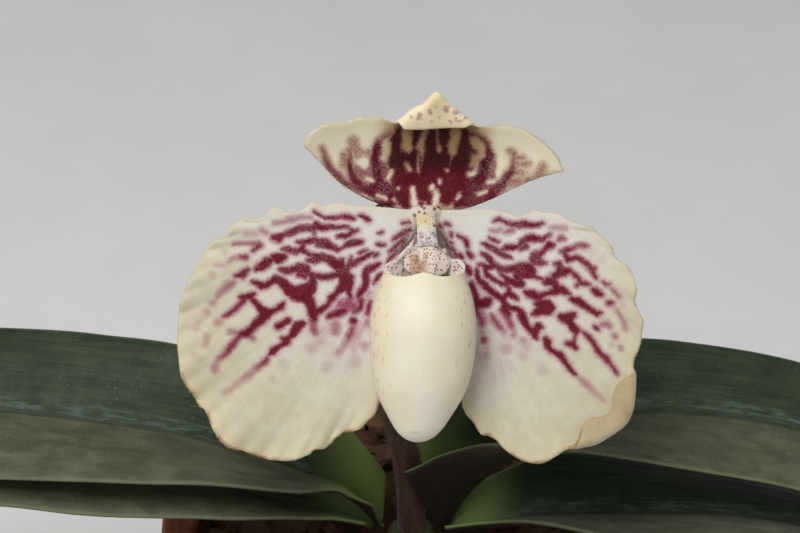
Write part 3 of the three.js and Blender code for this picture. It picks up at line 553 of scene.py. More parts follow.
RIGHT_MARKS = [
    (.9, (3.1, -1.7, .4), (3.6, -1.75, .45), (3.9, -2, .3)), (1, (4.1, -3.3, .6), (4.15, -3.7, .4)),
    (.9, (4, -4.6, .35), (4.4, -4.9, .35)), (.9, (5.5, -6.6, .6), (5.9, -7.1, .7)),
    (.9, (5.2, -3.6, .4), (6, -4, .4), (6.6, -4.6, .8), (6.7, -5.3, .7)),
    (1, (6.8, -6.3, .7), (7.4, -6.9, .8)),
    (1, (5.4, -7.9, .6), (6.1, -8.2, .7), (6.8, -8.8, .9), (7.1, -9.5, 1)),
    (1, (10.9, -1.3, .4), (11.8, -1.1, .7), (12.6, -1.4, .5), (13.6, -1.8, .7), (14.8, -1.9, .9),
        (16, -1.7, 1), (17, -2, .9), (18, -1.9, .7), (18.7, -1.7, .5)),
    (.5, (10.5, -2.8, .3), (11.4, -2.9, .4), (12, -2.5, .3)),
    (.55, (12.7, -3, .5), (13.4, -2.8, .7), (14, -2.7, .6)),
    (.38, (20.2, -2.4, .6), (21.2, -2.4, .6), (22.2, -2.5, .5)),
    (.85, (10.3, -4.1, .5), (11, -4.4, .7), (11.7, -4.6, .5)),
    (1, (9.1, -4.9, .4), (9.8, -5.2, .8), (10.6, -5.7, .9), (11.4, -6, .9), (12.2, -6.5, 1), (13, -6.9, .8),
        (13.6, -7.1, .5)),
    (.9, (12.4, -5.8, .5), (13, -5.4, .9), (13.8, -5.5, 1), (14.8, -5.3, .7), (15.4, -4.5, 1),
        (16.2, -4, 1.2), (17, -3.9, 1.2), (17.8, -4.2, .9), (18.6, -4.4, .8), (19.2, -3.9, .7),
        (19.9, -3.5, .4)), (.9, (15.2, -5.8, .6), (16, -5.3, 1)),
    (.65, (21.2, -4.3, .6), (21.6, -4, .9), (22.1, -4.2, .4)),
    (.95, (18.9, -5.9, .5), (19.8, -5.2, 1.2), (20.3, -5.2, .8)),
    (.75, (18.9, -5.9, .6), (18.4, -6.4, .9), (17.6, -6.8, 1.6), (17.4, -7.6, 1.6), (18.2, -7.9, 1.2),
        (19.2, -8, .5)), (.9, (21.7, -6.1, .6), (22.4, -5.9, 1)),
    (.65, (22.4, -5.9, .9), (23.4, -5.6, .7), (24.2, -5.2, .6), (25.2, -5.3, .8), (25.8, -5.3, .4)),
    (.95, (22.2, -6.4, .8), (22.6, -7.4, 1.1), (23.2, -7.3, .8), (24, -7, .7), (24.8, -7.5, .8),
        (25.6, -8.1, .8)), (.8, (25.6, -8.1, .8), (26.2, -8.8, .8), (26.7, -9.5, .8), (27.1, -10.2, .6)),
    (.75, (26.8, -8.8, .7)), (.65, (28.2, -11, .4), (28.6, -11.4, .6), (29.2, -11.2, .3)),
    (.55, (29.6, -12, .35), (30.2, -12.8, .45), (30.6, -13.2, .4)),
    (1, (9, -6.5, .6), (9.6, -6.8, .9), (10.2, -7.3, 1), (10.7, -8, .9), (11.2, -8.4, .8), (12, -8.9, 1),
        (13, -9, 1), (14, -8.8, 1.1), (15, -8.5, 1.3), (16, -8.4, 1.3), (16.8, -8.7, 1.3), (17, -9.4, 1.4),
        (16.4, -9.8, 1.4), (17.6, -10.3, .7), (18.6, -10.6, .5)), (1, (14.8, -9.2, 1.8), (15.8, -9.4, 2)),
    (1, (12, -9.6, .5), (12.6, -10.1, .6), (13, -10.6, 1.1), (13.8, -10.9, 1.3), (14.6, -11.2, 1.4),
        (15.3, -11.3, 1.1), (15.2, -10.6, 1), (14.4, -10.1, .9)),
    (1, (8.5, -8.2, .5), (9.2, -8.4, .8), (10, -8.6, .9), (10.7, -8.5, .8)),
    (1, (9.5, -9, .8), (9.8, -9.8, .9), (10.6, -10.4, .8), (11.4, -10.8, .8), (12.2, -11.3, .8),
        (13, -11.4, .8)),
    (1, (8.2, -9, .7), (8.2, -9.8, .8), (8.6, -10.6, 1.1), (9.3, -11.3, 1.2), (10, -12, 1.2),
        (10.8, -12.8, 1.1), (11.6, -13.3, 1.1), (12.4, -13.9, 1.1), (12.6, -14.8, 1.1), (12.9, -15.6, 1.2),
        (13.4, -16.1, .7)), (.95, (13.4, -12, .7), (13.1, -12.8, .9), (12.6, -13.4, .9)),
    (1, (13.1, -12.9, 1), (14, -13.2, .9), (14.6, -13.6, .6)),
    (1, (12.8, -14.6, 1), (13.6, -15.2, 1), (14.4, -15.2, 1), (15, -15.6, 1.1), (15.4, -16.4, 1.3),
        (15.8, -17.2, 1.3), (16.2, -18, 1), (16.8, -18.6, 1), (17.4, -18.9, 1.3), (17.4, -19.6, .9),
        (17.8, -19.9, .5)), (.95, (17.4, -18.7, 1.2), (17.9, -18, 1.1), (18.5, -18.2, .5)),
    (.95, (7.3, -11.2, .7), (7.6, -11.9, .8), (7.9, -12.8, .8), (8.1, -13.6, .9), (8.6, -14.4, 1.3),
        (9.6, -14.2, 1.7), (10.2, -13.9, 1)),
    (.65, (8, -14.8, .8), (8.3, -15.8, .7), (8.8, -16.8, .6), (9, -17.8, .5)), (.6, (9.3, -20.1, .9)),
    (.3, (9, -19, .4)), (.25, (9.3, -22.8, 1)), (.16, (9.4, -24.2, .8)),
    (.62, (10.6, -16.3, .5), (10.9, -17, .6), (11.4, -17.7, .6), (12, -18.4, .5)), (.35, (12.6, -19, .6)),
    (.6, (12.2, -15.2, .7), (12.8, -16.2, .7), (13.4, -17, .8), (13.7, -17.9, .6)), (.42, (14, -19.3, .6)),
    (.32, (15.6, -20.2, .8)), (.22, (12.8, -21.6, 1.1)), (.18, (16, -21, .8)), (.14, (15.4, -22.6, 1)),
    (.95, (15.8, -12.6, .6), (16.4, -12.9, 1.2), (17.2, -13, 1.4), (17.8, -13.4, 1.2), (18.6, -13, .9),
        (19.6, -12.7, .9), (20.6, -12.4, 1.2), (21.4, -12.1, 1.3), (22.2, -12.6, 1.1), (22.8, -12.9, .6)),
    (1, (19, -11.1, .7), (19.6, -10.8, 1.5), (20.4, -10.8, 1.2), (20.8, -11.6, 1.2), (21.2, -12.2, 1.2)),
    (.95, (20.4, -10, 1), (21.2, -9.5, 1.2), (22, -9.3, 1.4), (22.8, -9.2, .9)),
    (.9, (20.6, -8, .7), (21.2, -8, 1), (21.4, -8.9, 1.3)),
    (.85, (23.4, -9.6, .5), (24, -10, .8), (24.5, -10.5, .6), (24.6, -11, .8), (25.4, -11.2, .8),
        (25.9, -11.3, .5)), (.7, (24.5, -11, .6), (24, -11.6, .6)),
    (.85, (26.6, -12.2, .8), (27.2, -12.6, 1.1), (27.8, -12.9, .8)),
    (1, (17.6, -14.4, .8), (18.4, -14.3, 1.1), (19.4, -14.6, 1.6), (20, -14.9, 1.2), (19.6, -15.6, 1.2),
        (18.6, -15.6, 1.4), (17.6, -15.8, 1.4), (17, -16, .7)), (.95, (18.6, -15, 2)),
    (.95, (23.2, -13.7, .8), (24, -14, 1.3), (24.8, -14.5, 1.2), (25.6, -15, 1), (26.4, -15.5, .9),
        (27.2, -16, .9), (27.8, -15.7, .5)),
    (.85, (21.4, -16.4, 1), (22.2, -16.8, 1.6), (23, -16.5, 1.4), (23.6, -16.2, .8)),
    (.85, (22.8, -17.2, 1.4), (23.4, -18.2, 1.4), (24, -18.6, 1.1), (23.8, -19.4, .5)),
    (.85, (22.4, -20.7, .7), (23.2, -20.7, 1), (23.9, -21.4, .7)),
    (.8, (23.6, -19.8, .5), (23.3, -20.6, .8)),
    (.8, (25, -19, .5), (25.6, -19.4, .9), (26.2, -20.2, .7), (26.8, -21, .7), (27.2, -21.8, .9),
        (27.8, -22.4, .7)),
    (.72, (27.8, -22.4, .7), (28.5, -22.9, 1), (28.8, -23.5, .8), (29.4, -24.1, .5), (29.9, -24.8, .7),
        (30.2, -25.4, .6)), (.85, (26.8, -18, .5), (27.2, -18.3, .8)),
    (.5, (28, -17.6, .6), (28.6, -17.5, .8), (29.2, -18, .4)), (.5, (29.9, -19.6, .7)),
    (.42, (30.8, -21.4, .6)), (.22, (29.4, -20.8, .5)), (.7, (29, -14.2, .8), (29.6, -14.3, .7)),
    (.42, (30.4, -15.4, .3), (31, -16.6, .35), (31.5, -17.6, .4), (31.6, -18.4, .35)),
    (.95, (19, -19.9, .8), (19.4, -20.5, 1.3), (19.5, -21.2, 1.1), (19.9, -21.8, .9), (20.8, -22.2, .9),
        (21.4, -22.6, 1.1)),
    (.88, (21.4, -22.6, 1.1), (22, -23.4, .9), (22.6, -24.2, .8), (23.2, -25, .8), (23.7, -25.6, .6)),
    (.42, (24.6, -26.3, .5), (25.4, -27, .7), (26.2, -27.8, .6)),
    (.28, (26.2, -27.8, .6), (27, -28.6, .5), (28, -29.6, .4)), (.15, (31.3, -14.6, .4)),
    (.12, (26.6, -6.2, .8)), (.12, (28, -7.2, .8)), (.14, (18.5, -25, 1.2)),
    (1, (3.2, -5.2, .35), (4, -5.7, .4), (4.7, -6.2, .4)), (.9, (4.8, -7, .4), (5.3, -7.6, .45)),
    (.95, (1.9, -3.1, .6), (2.4, -3.7, .5), (2.6, -4.4, .7), (2.8, -5.2, .8), (2.5, -5.9, .5)),
    (1, (2.3, -2, .4), (2.6, -2.1, .4)), (1, (2.5, -3.2, .35), (3.2, -4.4, .6), (4, -5.5, .4)),
    (1, (4.3, -5.6, .4), (5.1, -6.8, .55)), (.9, (3, -5.6, .35), (3.9, -7, .5), (4.5, -8, .35)),
    (1, (5.5, -7.6, .4), (6, -9, .5)),
]

# Pale pink and lilac that soaks out between the marks near the pouch, in the same form. The first stroke of
# each list, beside the column, is partly the grey-purple of the hairy petal base and partly painted shade
# from the column.
LEFT_VEIL = [
    (.6, (-3, -2.2, .8), (-3.6, -3.6, 1.8), (-4.2, -6, 2.4), (-4.8, -8, 2)),
    (1, (-15, -15.8, 1.8), (-12.6, -14.4, 3), (-10.4, -14, 2.6), (-9.2, -13, 2)),
    (.7, (-9, -15.5, 2.2), (-9.2, -18, 2)), (.6, (-11, -18.5, 3), (-11.5, -21, 2.4)),
    (.4, (-17.6, -18.6, 1.8), (-14.4, -18.6, 2.2)), (.22, (-16, -21.5, 3.4), (-12, -24, 3)),
]
RIGHT_VEIL = [
    # Its first stroke, beside the column, is partly painted shade.
    (.55, (2.4, -2.6, .8), (3, -4.2, 1.8), (3.9, -6.6, 2.2)),
    (1, (7.2, -11.6, 1.6), (8.6, -14.4, 2.6), (9.4, -16.8, 2.4)),
    (.7, (11.6, -17.2, 3), (13.4, -17.8, 2.4)), (.5, (9.2, -19.4, 2.6), (9.2, -23, 2.2)),
    (.3, (13, -20.4, 3.4), (16, -21.4, 2.4)), (.25, (9.6, -26, 3), (12, -24.6, 3.4)),
]

# The hood's inside: dark bars and fans of veins, and the pale windows that are left in them.
SEPAL_MARKS = [
    (1, (-4.2, 13.2, .7), (-4.5, 12, 1.2), (-4.7, 10.8, 1.5), (-4.6, 9.6, 1.8), (-4.5, 8.4, 2.2),
        (-4.3, 7.2, 2.5), (-4.1, 6, 2.6), (-3.8, 4.8, 3), (-3.6, 3.6, 3), (-3.2, 2.6, 2.4),
        (-2.9, 1.6, 1.4), (-3, 1.1, .6)),
    (1, (-1, 13.2, 1.3), (-1.2, 12.2, 1.2), (-1.6, 11.2, .8), (-1.9, 10.4, .7), (-2.4, 9.6, 1.2)),
    (1, (-3.2, 9.2, 1.4), (-1.9, 9.2, 1.8), (-1.6, 8, 1.6), (-1.6, 6.8, 2), (-1.6, 5.6, 3)),
    (1, (.9, 13.2, 1), (1, 12, 1.4), (1, 11, 1.6), (1, 10, 1.6), (.9, 9, 2), (.7, 8, 2.2), (.6, 7, 2.4),
        (.4, 6, 3), (0, 5, 3), (-.2, 4, 2.2), (-.3, 3, 2)),
    (1, (3.1, 13.2, 1.4), (3, 12, 1.5), (2.9, 11.2, 1), (2.7, 10.4, .8), (2.9, 9.5, 2.4), (2.5, 8.6, 3),
        (2.3, 7.6, 3.2), (2, 6, 3.6)),
    (1, (6.3, 13, .9), (6.4, 12, 1), (6.2, 11, 1.4), (6.1, 10, 2), (6, 9, 2.3), (5.7, 8, 2.5),
        (5.2, 7, 2.8), (4.6, 6, 3), (4.2, 5, 3.2), (3.8, 4, 3), (3.6, 3, 2.6), (3.4, 2.2, 1.8)),
    (1, (7, 10.4, .9), (7.9, 9.8, .5)),
    (.75, (7.2, 12.7, .3), (8.2, 12.3, .35), (9.2, 11.8, .4), (9.9, 11, .5), (10.1, 10, .6)),
    (.95, (10.1, 10, .6), (10.3, 9.2, .8), (10.1, 8.4, 1), (9.6, 7.8, 1.4), (9.5, 7, 1.5), (9.3, 6.2, 1.5),
        (8.8, 5.4, 1.9), (8.2, 4.6, 2.2), (7.6, 3.8, 2.2), (7, 3, 2.2), (6.4, 2.2, 1.6), (5.4, 1.6, 1.1),
        (5, 1.3, .7)), (1, (6.8, 5.4, 1.6), (6, 4.6, 2.2)), (.8, (7, 7.4, .9), (6.4, 6.6, .9)),
    (.75, (8.9, 5.2, 1.4), (9.8, 4.4, 1.2)), (.6, (14.2, 9.6, .4), (14.2, 8.4, .6), (14.1, 7.4, .7)),
    (.85, (14.1, 7.4, .6), (13.9, 6.6, .8), (13.4, 6, .8), (13, 5.4, 1), (12.6, 4.8, 1), (12, 4.2, 1.2),
        (11.2, 3.8, 1.5), (10.4, 3, 1.6), (9.4, 2.4, 1.2), (8.4, 1.9, 1.2), (7.2, 1.7, 1), (6.4, 1.4, .5)),
    (.3, (14.3, 8.9, .3), (15.6, 8.8, .3)), (.35, (14.3, 8, .4), (15.4, 7.9, .3), (16.4, 8, .3)),
    (.4, (14.4, 6.6, .5), (15.6, 6.4, .3)), (.5, (16.4, 5.2, .5), (17.2, 5, .4)),
    (.35, (18, 6, .8), (18.4, 6.8, .7), (18.8, 7.6, .4)), (.45, (13.6, 5, .8), (15, 5, .6)),
    (.3, (13.6, 9.9, .5)), (.55, (10.8, 8.2, .8), (11.2, 7.4, .8)), (.65, (10.6, 6, 1), (10.3, 7, .8)),
    (.5, (-5.4, 12.8, .5), (-6.4, 12.2, .5), (-7.2, 11.4, .7)),
    (.9, (-7.2, 11.4, .6), (-7.6, 10.6, .8), (-8, 9.8, .8), (-8, 8.8, 1), (-7.9, 8, 1.3), (-7.8, 7.2, 1.5),
        (-7.8, 6.4, 1.4), (-7.6, 5.6, 1.5), (-7.2, 4.8, 1.7), (-6.6, 4, 2), (-5.8, 3.2, 2.2),
        (-5, 2.8, 1.6)), (.8, (-7.8, 9.6, .4), (-7, 9.6, .5), (-6.4, 9.8, .3)),
    (.7, (-7, 8.1, .6), (-6.2, 8, .4)), (.7, (-6.6, 7, 1), (-6.4, 6.2, .8)),
    (.6, (-12, 10, .5), (-11.8, 9.2, .6), (-12, 8.4, .7)),
    (.85, (-12, 8.4, .7), (-12, 7.6, .8), (-11.7, 6.8, .9), (-11.4, 6, 1.1), (-11, 5.2, 1.1),
        (-10.4, 4.6, 1.4), (-9.6, 4, 1.6), (-8.8, 3.4, 1.6), (-8, 3.2, 1.2)),
    (.9, (-8.6, 4.4, 1.2), (-7.4, 4.2, 1.2)),
    (.9, (-10, 2.5, .5), (-9, 2, .8), (-8, 1.7, .9), (-7, 1.5, 1), (-6, 1.4, 1), (-5.2, 1.8, .8)),
    (.35, (-12.8, 9.2, .8), (-12.8, 7.8, .9)),
    (.55, (-10.8, 6.8, 1.4), (-10, 6.2, 1.6), (-9.2, 6.4, 1.4), (-8.8, 7.2, .8)),
    (.25, (-11.4, 11.4, 1.2), (-11.2, 10.4, 1.2)), (.32, (-9, 9.6, .8)), (.15, (-10.6, 9.6, 1.4)),
    (.5, (-9.4, 4.9, 1)), (.55, (-16.4, 10.4, .4), (-16.1, 9.6, .5), (-16, 8.8, .6)),
    (.75, (-16, 8.8, .5), (-15.6, 8, .6), (-15.3, 7.4, .6), (-14.8, 6.8, .6), (-14.2, 6.2, .7),
        (-13.6, 5.6, .6), (-13, 5, .7), (-12.2, 4.6, .6), (-11.4, 4.2, .6), (-10.6, 3.8, .6)),
    (1, (-.7, 1.5, .5), (-.4, 1, .7), (-.1, .5, .5)), (.9, (-1, .1, .5)), (.8, (-.1, -.2, .4)),
    (1, (1.9, .6, .6)), (.6, (1.2, .4, .3)), (.6, (-1.8, -.3, .4)), (.5, (.9, -.2, .35)),
    (1, (.7, 2.6, 1), (.7, 1.8, .7), (.65, 1.1, .5)), (.95, (3, 2.4, 1.7), (4.2, 2.4, 1.5)),
]
SEPAL_WINDOWS = [
    (1, (-6.1, 11.2, 1.4), (-6.1, 10, 1.4), (-6.4, 8.8, 1.2)), (1, (-5.4, 6.8, .8), (-5.8, 5.8, .8)),
    (1, (-2.9, 12.8, 1.3), (-2.8, 11.6, 1.1), (-2.8, 10.5, 1.5)), (1, (-2.9, 7.8, .6), (-2.4, 7, .6)),
    (1, (.1, 13, .9), (-.6, 11.6, .8), (-1.1, 10.6, .7)), (1, (-.9, 9.5, .25), (-1.15, 6.6, .25)),
    (1, (2.2, 10.5, .7), (2.2, 10.1, .6)), (1, (4.9, 12.8, 1.5), (4.7, 11.8, 1.2)),
    (1, (4.4, 10.7, 1.4), (4.4, 9.9, 1.4)), (1, (7.9, 11.6, 1.3), (8.2, 11, 1.5), (8.7, 10.2, 1)),
    (1, (8.9, 9, .9), (8.2, 8.5, .9), (7.5, 7.8, .7)), (1, (7.1, 6.3, .8), (7.9, 6.5, .8)),
    (1, (8.6, 3.1, .6), (9.7, 3.5, .6)), (1, (5.1, 2.3, .35), (5.6, 2.8, .4)),
    (1, (10.1, 5, .8), (11, 5.1, .8)), (1, (12, 8.4, 1.4), (11.8, 7.4, 1), (11.6, 6.3, 1)),
    (1, (1.1, 4.2, .8), (1, 3.9, .7)), (1, (1.9, 2.9, .9), (1.7, 2, 1), (1.4, 1.2, .8)),
    (1, (2.35, 5.3, .5), (2.3, 4.9, .45)), (1, (3.5, 6.9, .5)), (1, (-4.2, 4, .45)),
    (1, (-1.9, 4, .85), (-1.8, 3, .85), (-1.7, 1.6, 1.1)), (1, (-4.9, 2.2, .5)),
    (1, (-9.3, 5.6, .7), (-8.4, 5.3, .7)), (1, (-7.5, 2.9, .5), (-6.3, 2.3, .6)),
    (1, (-9.9, 8.2, 1.5), (-9.6, 7.7, 1.2)), (1, (-10, 3.1, .3), (-8.3, 2.2, .3)),
]

# The flecks on the outside of the hood's folded tip.
FLAP_SPECKS = [
    (1, (3.1, 16.4, .5), (3.3, 16, .4)), (1, (4.2, 15.8, .35), (4.6, 15.5, .3)),
    (1, (5.2, 15.5, .3), (5.6, 15.2, .3)), (1, (3.6, 14.7, .35), (3.9, 14.3, .3)),
    (1, (4.6, 14.8, .3), (4.9, 14.4, .3)), (1, (5.4, 14.3, .4)),
    (1, (-.6, 15.6, .5), (-.9, 15.1, .5), (-1.1, 14.7, .3)), (1, (-1.9, 15.1, .4)), (1, (1.7, 16.7, .3)),
    (1, (.6, 16.2, .35), (.8, 15.7, .3)), (1, (2.2, 15.2, .3)), (1, (.9, 14.6, .3)), (1, (5.9, 14.6, .3)),
]


# ---------------------------------------------------------------- the flower's blades

SETTLING_ROUNDS = 1000


def settled(net):
    """A net of points with its rim held still, whose inner lines have moved clear of each other."""
    net = net.copy()
    for _ in range(SETTLING_ROUNDS):
        across, up = (net[1:-1, 2:] - net[1:-1, :-2]) / 2, (net[2:, 1:-1] - net[:-2, 1:-1]) / 2
        twist = (net[2:, 2:] - net[2:, :-2] - net[:-2, 2:] + net[:-2, :-2]) / 4
        pairs = (across, across), (up, up), (across, up)
        width, height, slant = ((a * b).sum(-1, keepdims=True) for a, b in pairs)
        moved = height * (net[1:-1, 2:] + net[1:-1, :-2]) + width * (net[2:, 1:-1] + net[:-2, 1:-1])
        net[1:-1, 1:-1] = (moved - 2 * slant * twist) / (2 * (width + height))
    return net


def respaced(net, share):
    """The net's columns, read at shares of their own lengths."""
    steps = np.linalg.norm(np.diff(net, axis=0), axis=-1)
    travelled = np.vstack([0 * steps[:1], np.cumsum(steps, axis=0)])
    points = np.empty(share.shape + (3,))
    for column in range(net.shape[1]):
        shares = travelled[:, column] / travelled[-1, column]
        for axis in range(3):
            points[:, column, axis] = np.interp(share[:, column], shares, net[:, column, axis])
    return points


class Blade:
    """A sepal or petal between four lines in the flower's plane: its base, two sides and a margin.

    depth(x, y, u, v) bends the blade, rolled(edge) is how far its margin rolls forward past the outline, curl
    is the radius of that roll, and settles says that its inner lines are moved clear of each other.
    """

    RIM_REACH = 1.3                    # how far in from its rim the blade gets its full thickness
    FAN = (60, 5)                      # the blade's width and length for the grain that fans out over it

    def __init__(self, base, first_side, margin, last_side, depth, rolled=None, curl=1.0, settles=False):
        self.base_angles = np.radians(base)
        self.depth = depth
        self.rolled = rolled or (lambda edge: np.zeros(edge.shape[:-1]))
        self.curl = curl
        self.settles = settles
        self.first = Curve([tuple(self.base(0.0)[:2]), *first_side, margin[0]])
        self.last = Curve([tuple(self.base(1.0)[:2]), *last_side, margin[-1]])
        self.outer = Curve(margin)

    def base(self, u):
        angle = self.base_angles[0] + (self.base_angles[1] - self.base_angles[0]) * np.asarray(u)
        return BLADE_BASE_RADIUS * np.stack([np.cos(angle), np.sin(angle), 0 * angle], -1)

    def flat(self, u, v):
        """Points between the four lines, at share u of the way across and share v of the way out."""
        base, edge, first, last = self.base(u), self.outer.at(u), self.first.at(v), self.last.at(v)
        u, v = u[..., None], v[..., None]
        corners = (self.base(0.0) * (1 - u) + self.base(1.0) * u) * (1 - v)
        corners = corners + (self.outer.at(0.0) * (1 - u) + self.outer.at(1.0) * u) * v
        return first * (1 - u) + last * u + base * (1 - v) + edge * v - corners

    def roll(self, u, v):
        """How the rows run out to the margin and round its roll.

        Gives their share of the way out, the turn round the roll, how far they lie beyond the fold, and their
        distance from the margin.
        """
        edge = self.outer.at(u)
        length = np.linalg.norm(edge - self.base(u), axis=-1)
        extra = self.rolled(edge)
        fold_at = length - self.curl * np.sin(np.minimum(extra / self.curl, np.pi / 2))
        travelled = v * (fold_at + extra)
        beyond = np.maximum(0, travelled - fold_at)
        turn = np.minimum(beyond / self.curl, np.pi)
        reach = np.minimum(travelled, fold_at) + self.curl * np.sin(turn)
        reach = reach - np.maximum(0, beyond - np.pi * self.curl)
        return np.clip(reach / length, 0, 1), turn, beyond, (1 - v) * (fold_at + extra)

    def build(self, name, columns, rows, marks):
        """The blade as a closed sheet. marks(x, y) gives more numbers to keep at its points."""
        u, v = np.meshgrid(np.linspace(0, 1, columns + 1), np.linspace(0, 1, rows + 1))
        share, turn, beyond, rim = self.roll(u, v)
        middle = respaced(settled(self.flat(u, v)), share) if self.settles else self.flat(u, share)
        x, y = middle[..., 0], middle[..., 1]
        middle[..., 2] = self.depth(x, y, u, share) + self.curl * (1 - np.cos(turn))
        for side in (self.first, self.last):
            rim = np.minimum(rim, np.linalg.norm(middle[..., :2] - side.at(share)[..., :2], axis=-1))
        rounded = np.sqrt(1 - (1 - np.clip(rim / self.RIM_REACH, 0, 1)) ** 2)
        half = (RIM_THICKNESS + (BLADE_THICKNESS - RIM_THICKNESS) * rounded) / 2
        kept = {"flat": np.stack([x, y, 0 * x], -1), "rim": rim, "folded": beyond,
                "fan": np.stack([self.FAN[0] * u, self.FAN[1] * share, 0 * u], -1), **marks(x, y)}
        if surface_normals(middle)[..., 2].mean() < 0:
            middle, half = middle[:, ::-1], half[:, ::-1]
            kept = {key: values[:, ::-1] for key, values in kept.items()}
        return closed_sheet(name, flower_to_world(middle), half, kept)


def petal_depth(waves, phase, seed):
    """A petal's shallow bowl, with waves towards its margin."""
    def depth(x, y, u, v):
        distance = np.hypot(x, y)
        between_sides = smooth(u, 0, 0.14) * smooth(1 - u, 0, 0.14)
        wave = 0.7 * v ** 6 * np.sin(2 * np.pi * waves * u + phase) * between_sides
        ripple = 0.22 * v ** 12 * np.sin(2 * np.pi * 3.7 * waves * u + 2 * phase)
        soft = 0.09 * value_noise(x / 5, y / 5, seed) * smooth(distance, 6, 14)
        return -0.2 + 0.0021 * distance ** 2 + wave + ripple + soft
    return depth


def hood_depth(x, y, u, v):
    hollow = 0.029 * np.maximum(0, y - 2) ** 2 + 0.012 * np.maximum(0, abs(x) - 6) ** 2
    return -1.9 + hollow + 0.1 * value_noise(x / 3, y / 3, 8) * smooth(y, 3, 6)


def hood_roll(edge):
    """The hood's tip folds forward over its mouth, further in the middle."""
    x, y = edge[..., 0], edge[..., 1]
    return smooth(7.5 - abs(x - 1.65), 0, 2.6) * (2.6 + 0.86 * np.maximum(0, y - 13.4))


def synsepal_depth(x, y, u, v):
    cupped = 0.012 * x ** 2 - 0.0045 * (x ** 2 + y ** 2)
    return -1.9 + cupped + 0.15 * value_noise(x / 4, y / 4, 9) * smooth(-y, 4, 9)


def right_petal_roll(edge):
    """The right petal's margin is limp and rolls forward, from 35 to 61 degrees below the horizontal."""
    below = np.degrees(np.arctan2(-edge[..., 1], edge[..., 0]))
    return smooth(below, 35, 42) * smooth(-below, -61, -53) * (4.9 + 0.5 * np.sin(below * 0.75))


LEFT_PETAL = Blade(
    base=(158, 232),
    first_side=[(-8, 1), (-12, 1.2), (-13.5, 1.6), (-15, 1.3), (-16, 1), (-17, 1.5), (-18, 1.8), (-19, 0.9),
                (-20, 0.2), (-21, 0), (-22, 0.2), (-22.8, 0.9), (-23.6, 0.9), (-24.6, 0.5), (-25, -0.3),
                (-26, -0.9), (-27, -1)],
    margin=[(-28, -0.6), (-29, -1), (-30, -1.7), (-31, -2.4), (-31.2, -3.4), (-32, -4), (-33.3, -4.3),
            (-34.4, -5.4), (-34.8, -6.4), (-36, -8.2), (-37, -10.4), (-38.6, -14.8), (-39, -18.5),
            (-38.8, -22.5), (-38, -26.4), (-36.4, -28.8), (-35.5, -30.5), (-34.8, -30.9), (-34.3, -31.8),
            (-33.2, -34.2), (-31.7, -36.2), (-30.3, -37.1), (-28.8, -37.4), (-26.2, -38.4), (-24.2, -38.9),
            (-20.8, -38.9), (-18.4, -38.1), (-17.3, -37.3), (-16, -37.2), (-14.8, -36.3), (-13.3, -34.9),
            (-12, -34.5), (-10.7, -34.3), (-10, -33.8)],
    last_side=[(-3.5, -7), (-5, -14), (-6.2, -22), (-7, -28.9), (-8, -31.9), (-9.2, -32.9)],
    depth=petal_depth(5, 0.4, 2), settles=True,
)
RIGHT_PETAL = Blade(
    base=(22, -52),
    first_side=[(5.9, 0.5), (10, 0.6), (12, 0.3), (13.5, -0.1), (14.5, -0.5), (15.5, -0.5), (16.5, 0),
                (17.3, 0.5), (18.2, 0.3), (19.5, 0), (20.5, 0), (21.5, -0.3), (22.3, -0.8)],
    margin=[(23, -1.5), (24.3, -1.9), (26.1, -2.2), (27, -2.9), (28, -3.8), (29, -4.7), (29.7, -5.6),
            (29.9, -6.8), (30.6, -7.6), (31.8, -8.3), (32.6, -9.5), (33.3, -12), (33, -14), (33.4, -15),
            (34.4, -17.2), (34.2, -19), (34, -20.5), (33.5, -22), (32.9, -23.4), (32.7, -26), (32.6, -28.5),
            (32, -31.6), (31.3, -33), (29.4, -34.5), (27, -36), (24.6, -36.6), (22.3, -37.1), (20.6, -38.2),
            (18.4, -39.4), (15.6, -39.2), (13.8, -38.3), (12.4, -37.2), (11, -35.7), (10, -35.2),
            (8.9, -35), (8, -33.8), (7.4, -32.8), (6.4, -31.7), (5.9, -30.6)],
    last_side=[(3, -4), (4.4, -9), (5.3, -16), (5.7, -24)],
    depth=petal_depth(4, 2.2, 5), rolled=right_petal_roll, curl=0.75, settles=True,
)
DORSAL_SEPAL = Blade(
    base=(165, 15),
    first_side=[(-4.8, 0.9), (-8.7, 2), (-13.4, 4.7), (-17, 8.4)],
    margin=[(-19.2, 10.6), (-18.4, 12.2), (-15.6, 13.9), (-12.6, 14.3), (-10, 14.9), (-7.3, 14.8),
            (-4.4, 14.2), (-1.9, 15.9), (0, 16.8), (1.8, 18.4), (3.4, 16.9), (5.3, 15.4), (7.9, 13.7),
            (11.7, 13.7), (15.4, 13.1), (18.8, 10.8), (20.8, 8.8), (21.8, 6.6)],
    last_side=[(6.3, 0.7), (10.3, 2.1), (15.8, 4.7), (19.4, 6)],
    depth=hood_depth, rolled=hood_roll, curl=1.1,
)
SYNSEPAL = Blade(
    base=(222, 318),
    first_side=[(-6.5, -6), (-9.8, -11)],
    margin=[(-10.6, -15.5), (-9.4, -20), (-6, -23.6), (-1.5, -25), (3.6, -24.2), (7.6, -21), (9.4, -16.5)],
    last_side=[(6, -6), (8.8, -11)],
    depth=synsepal_depth,
)

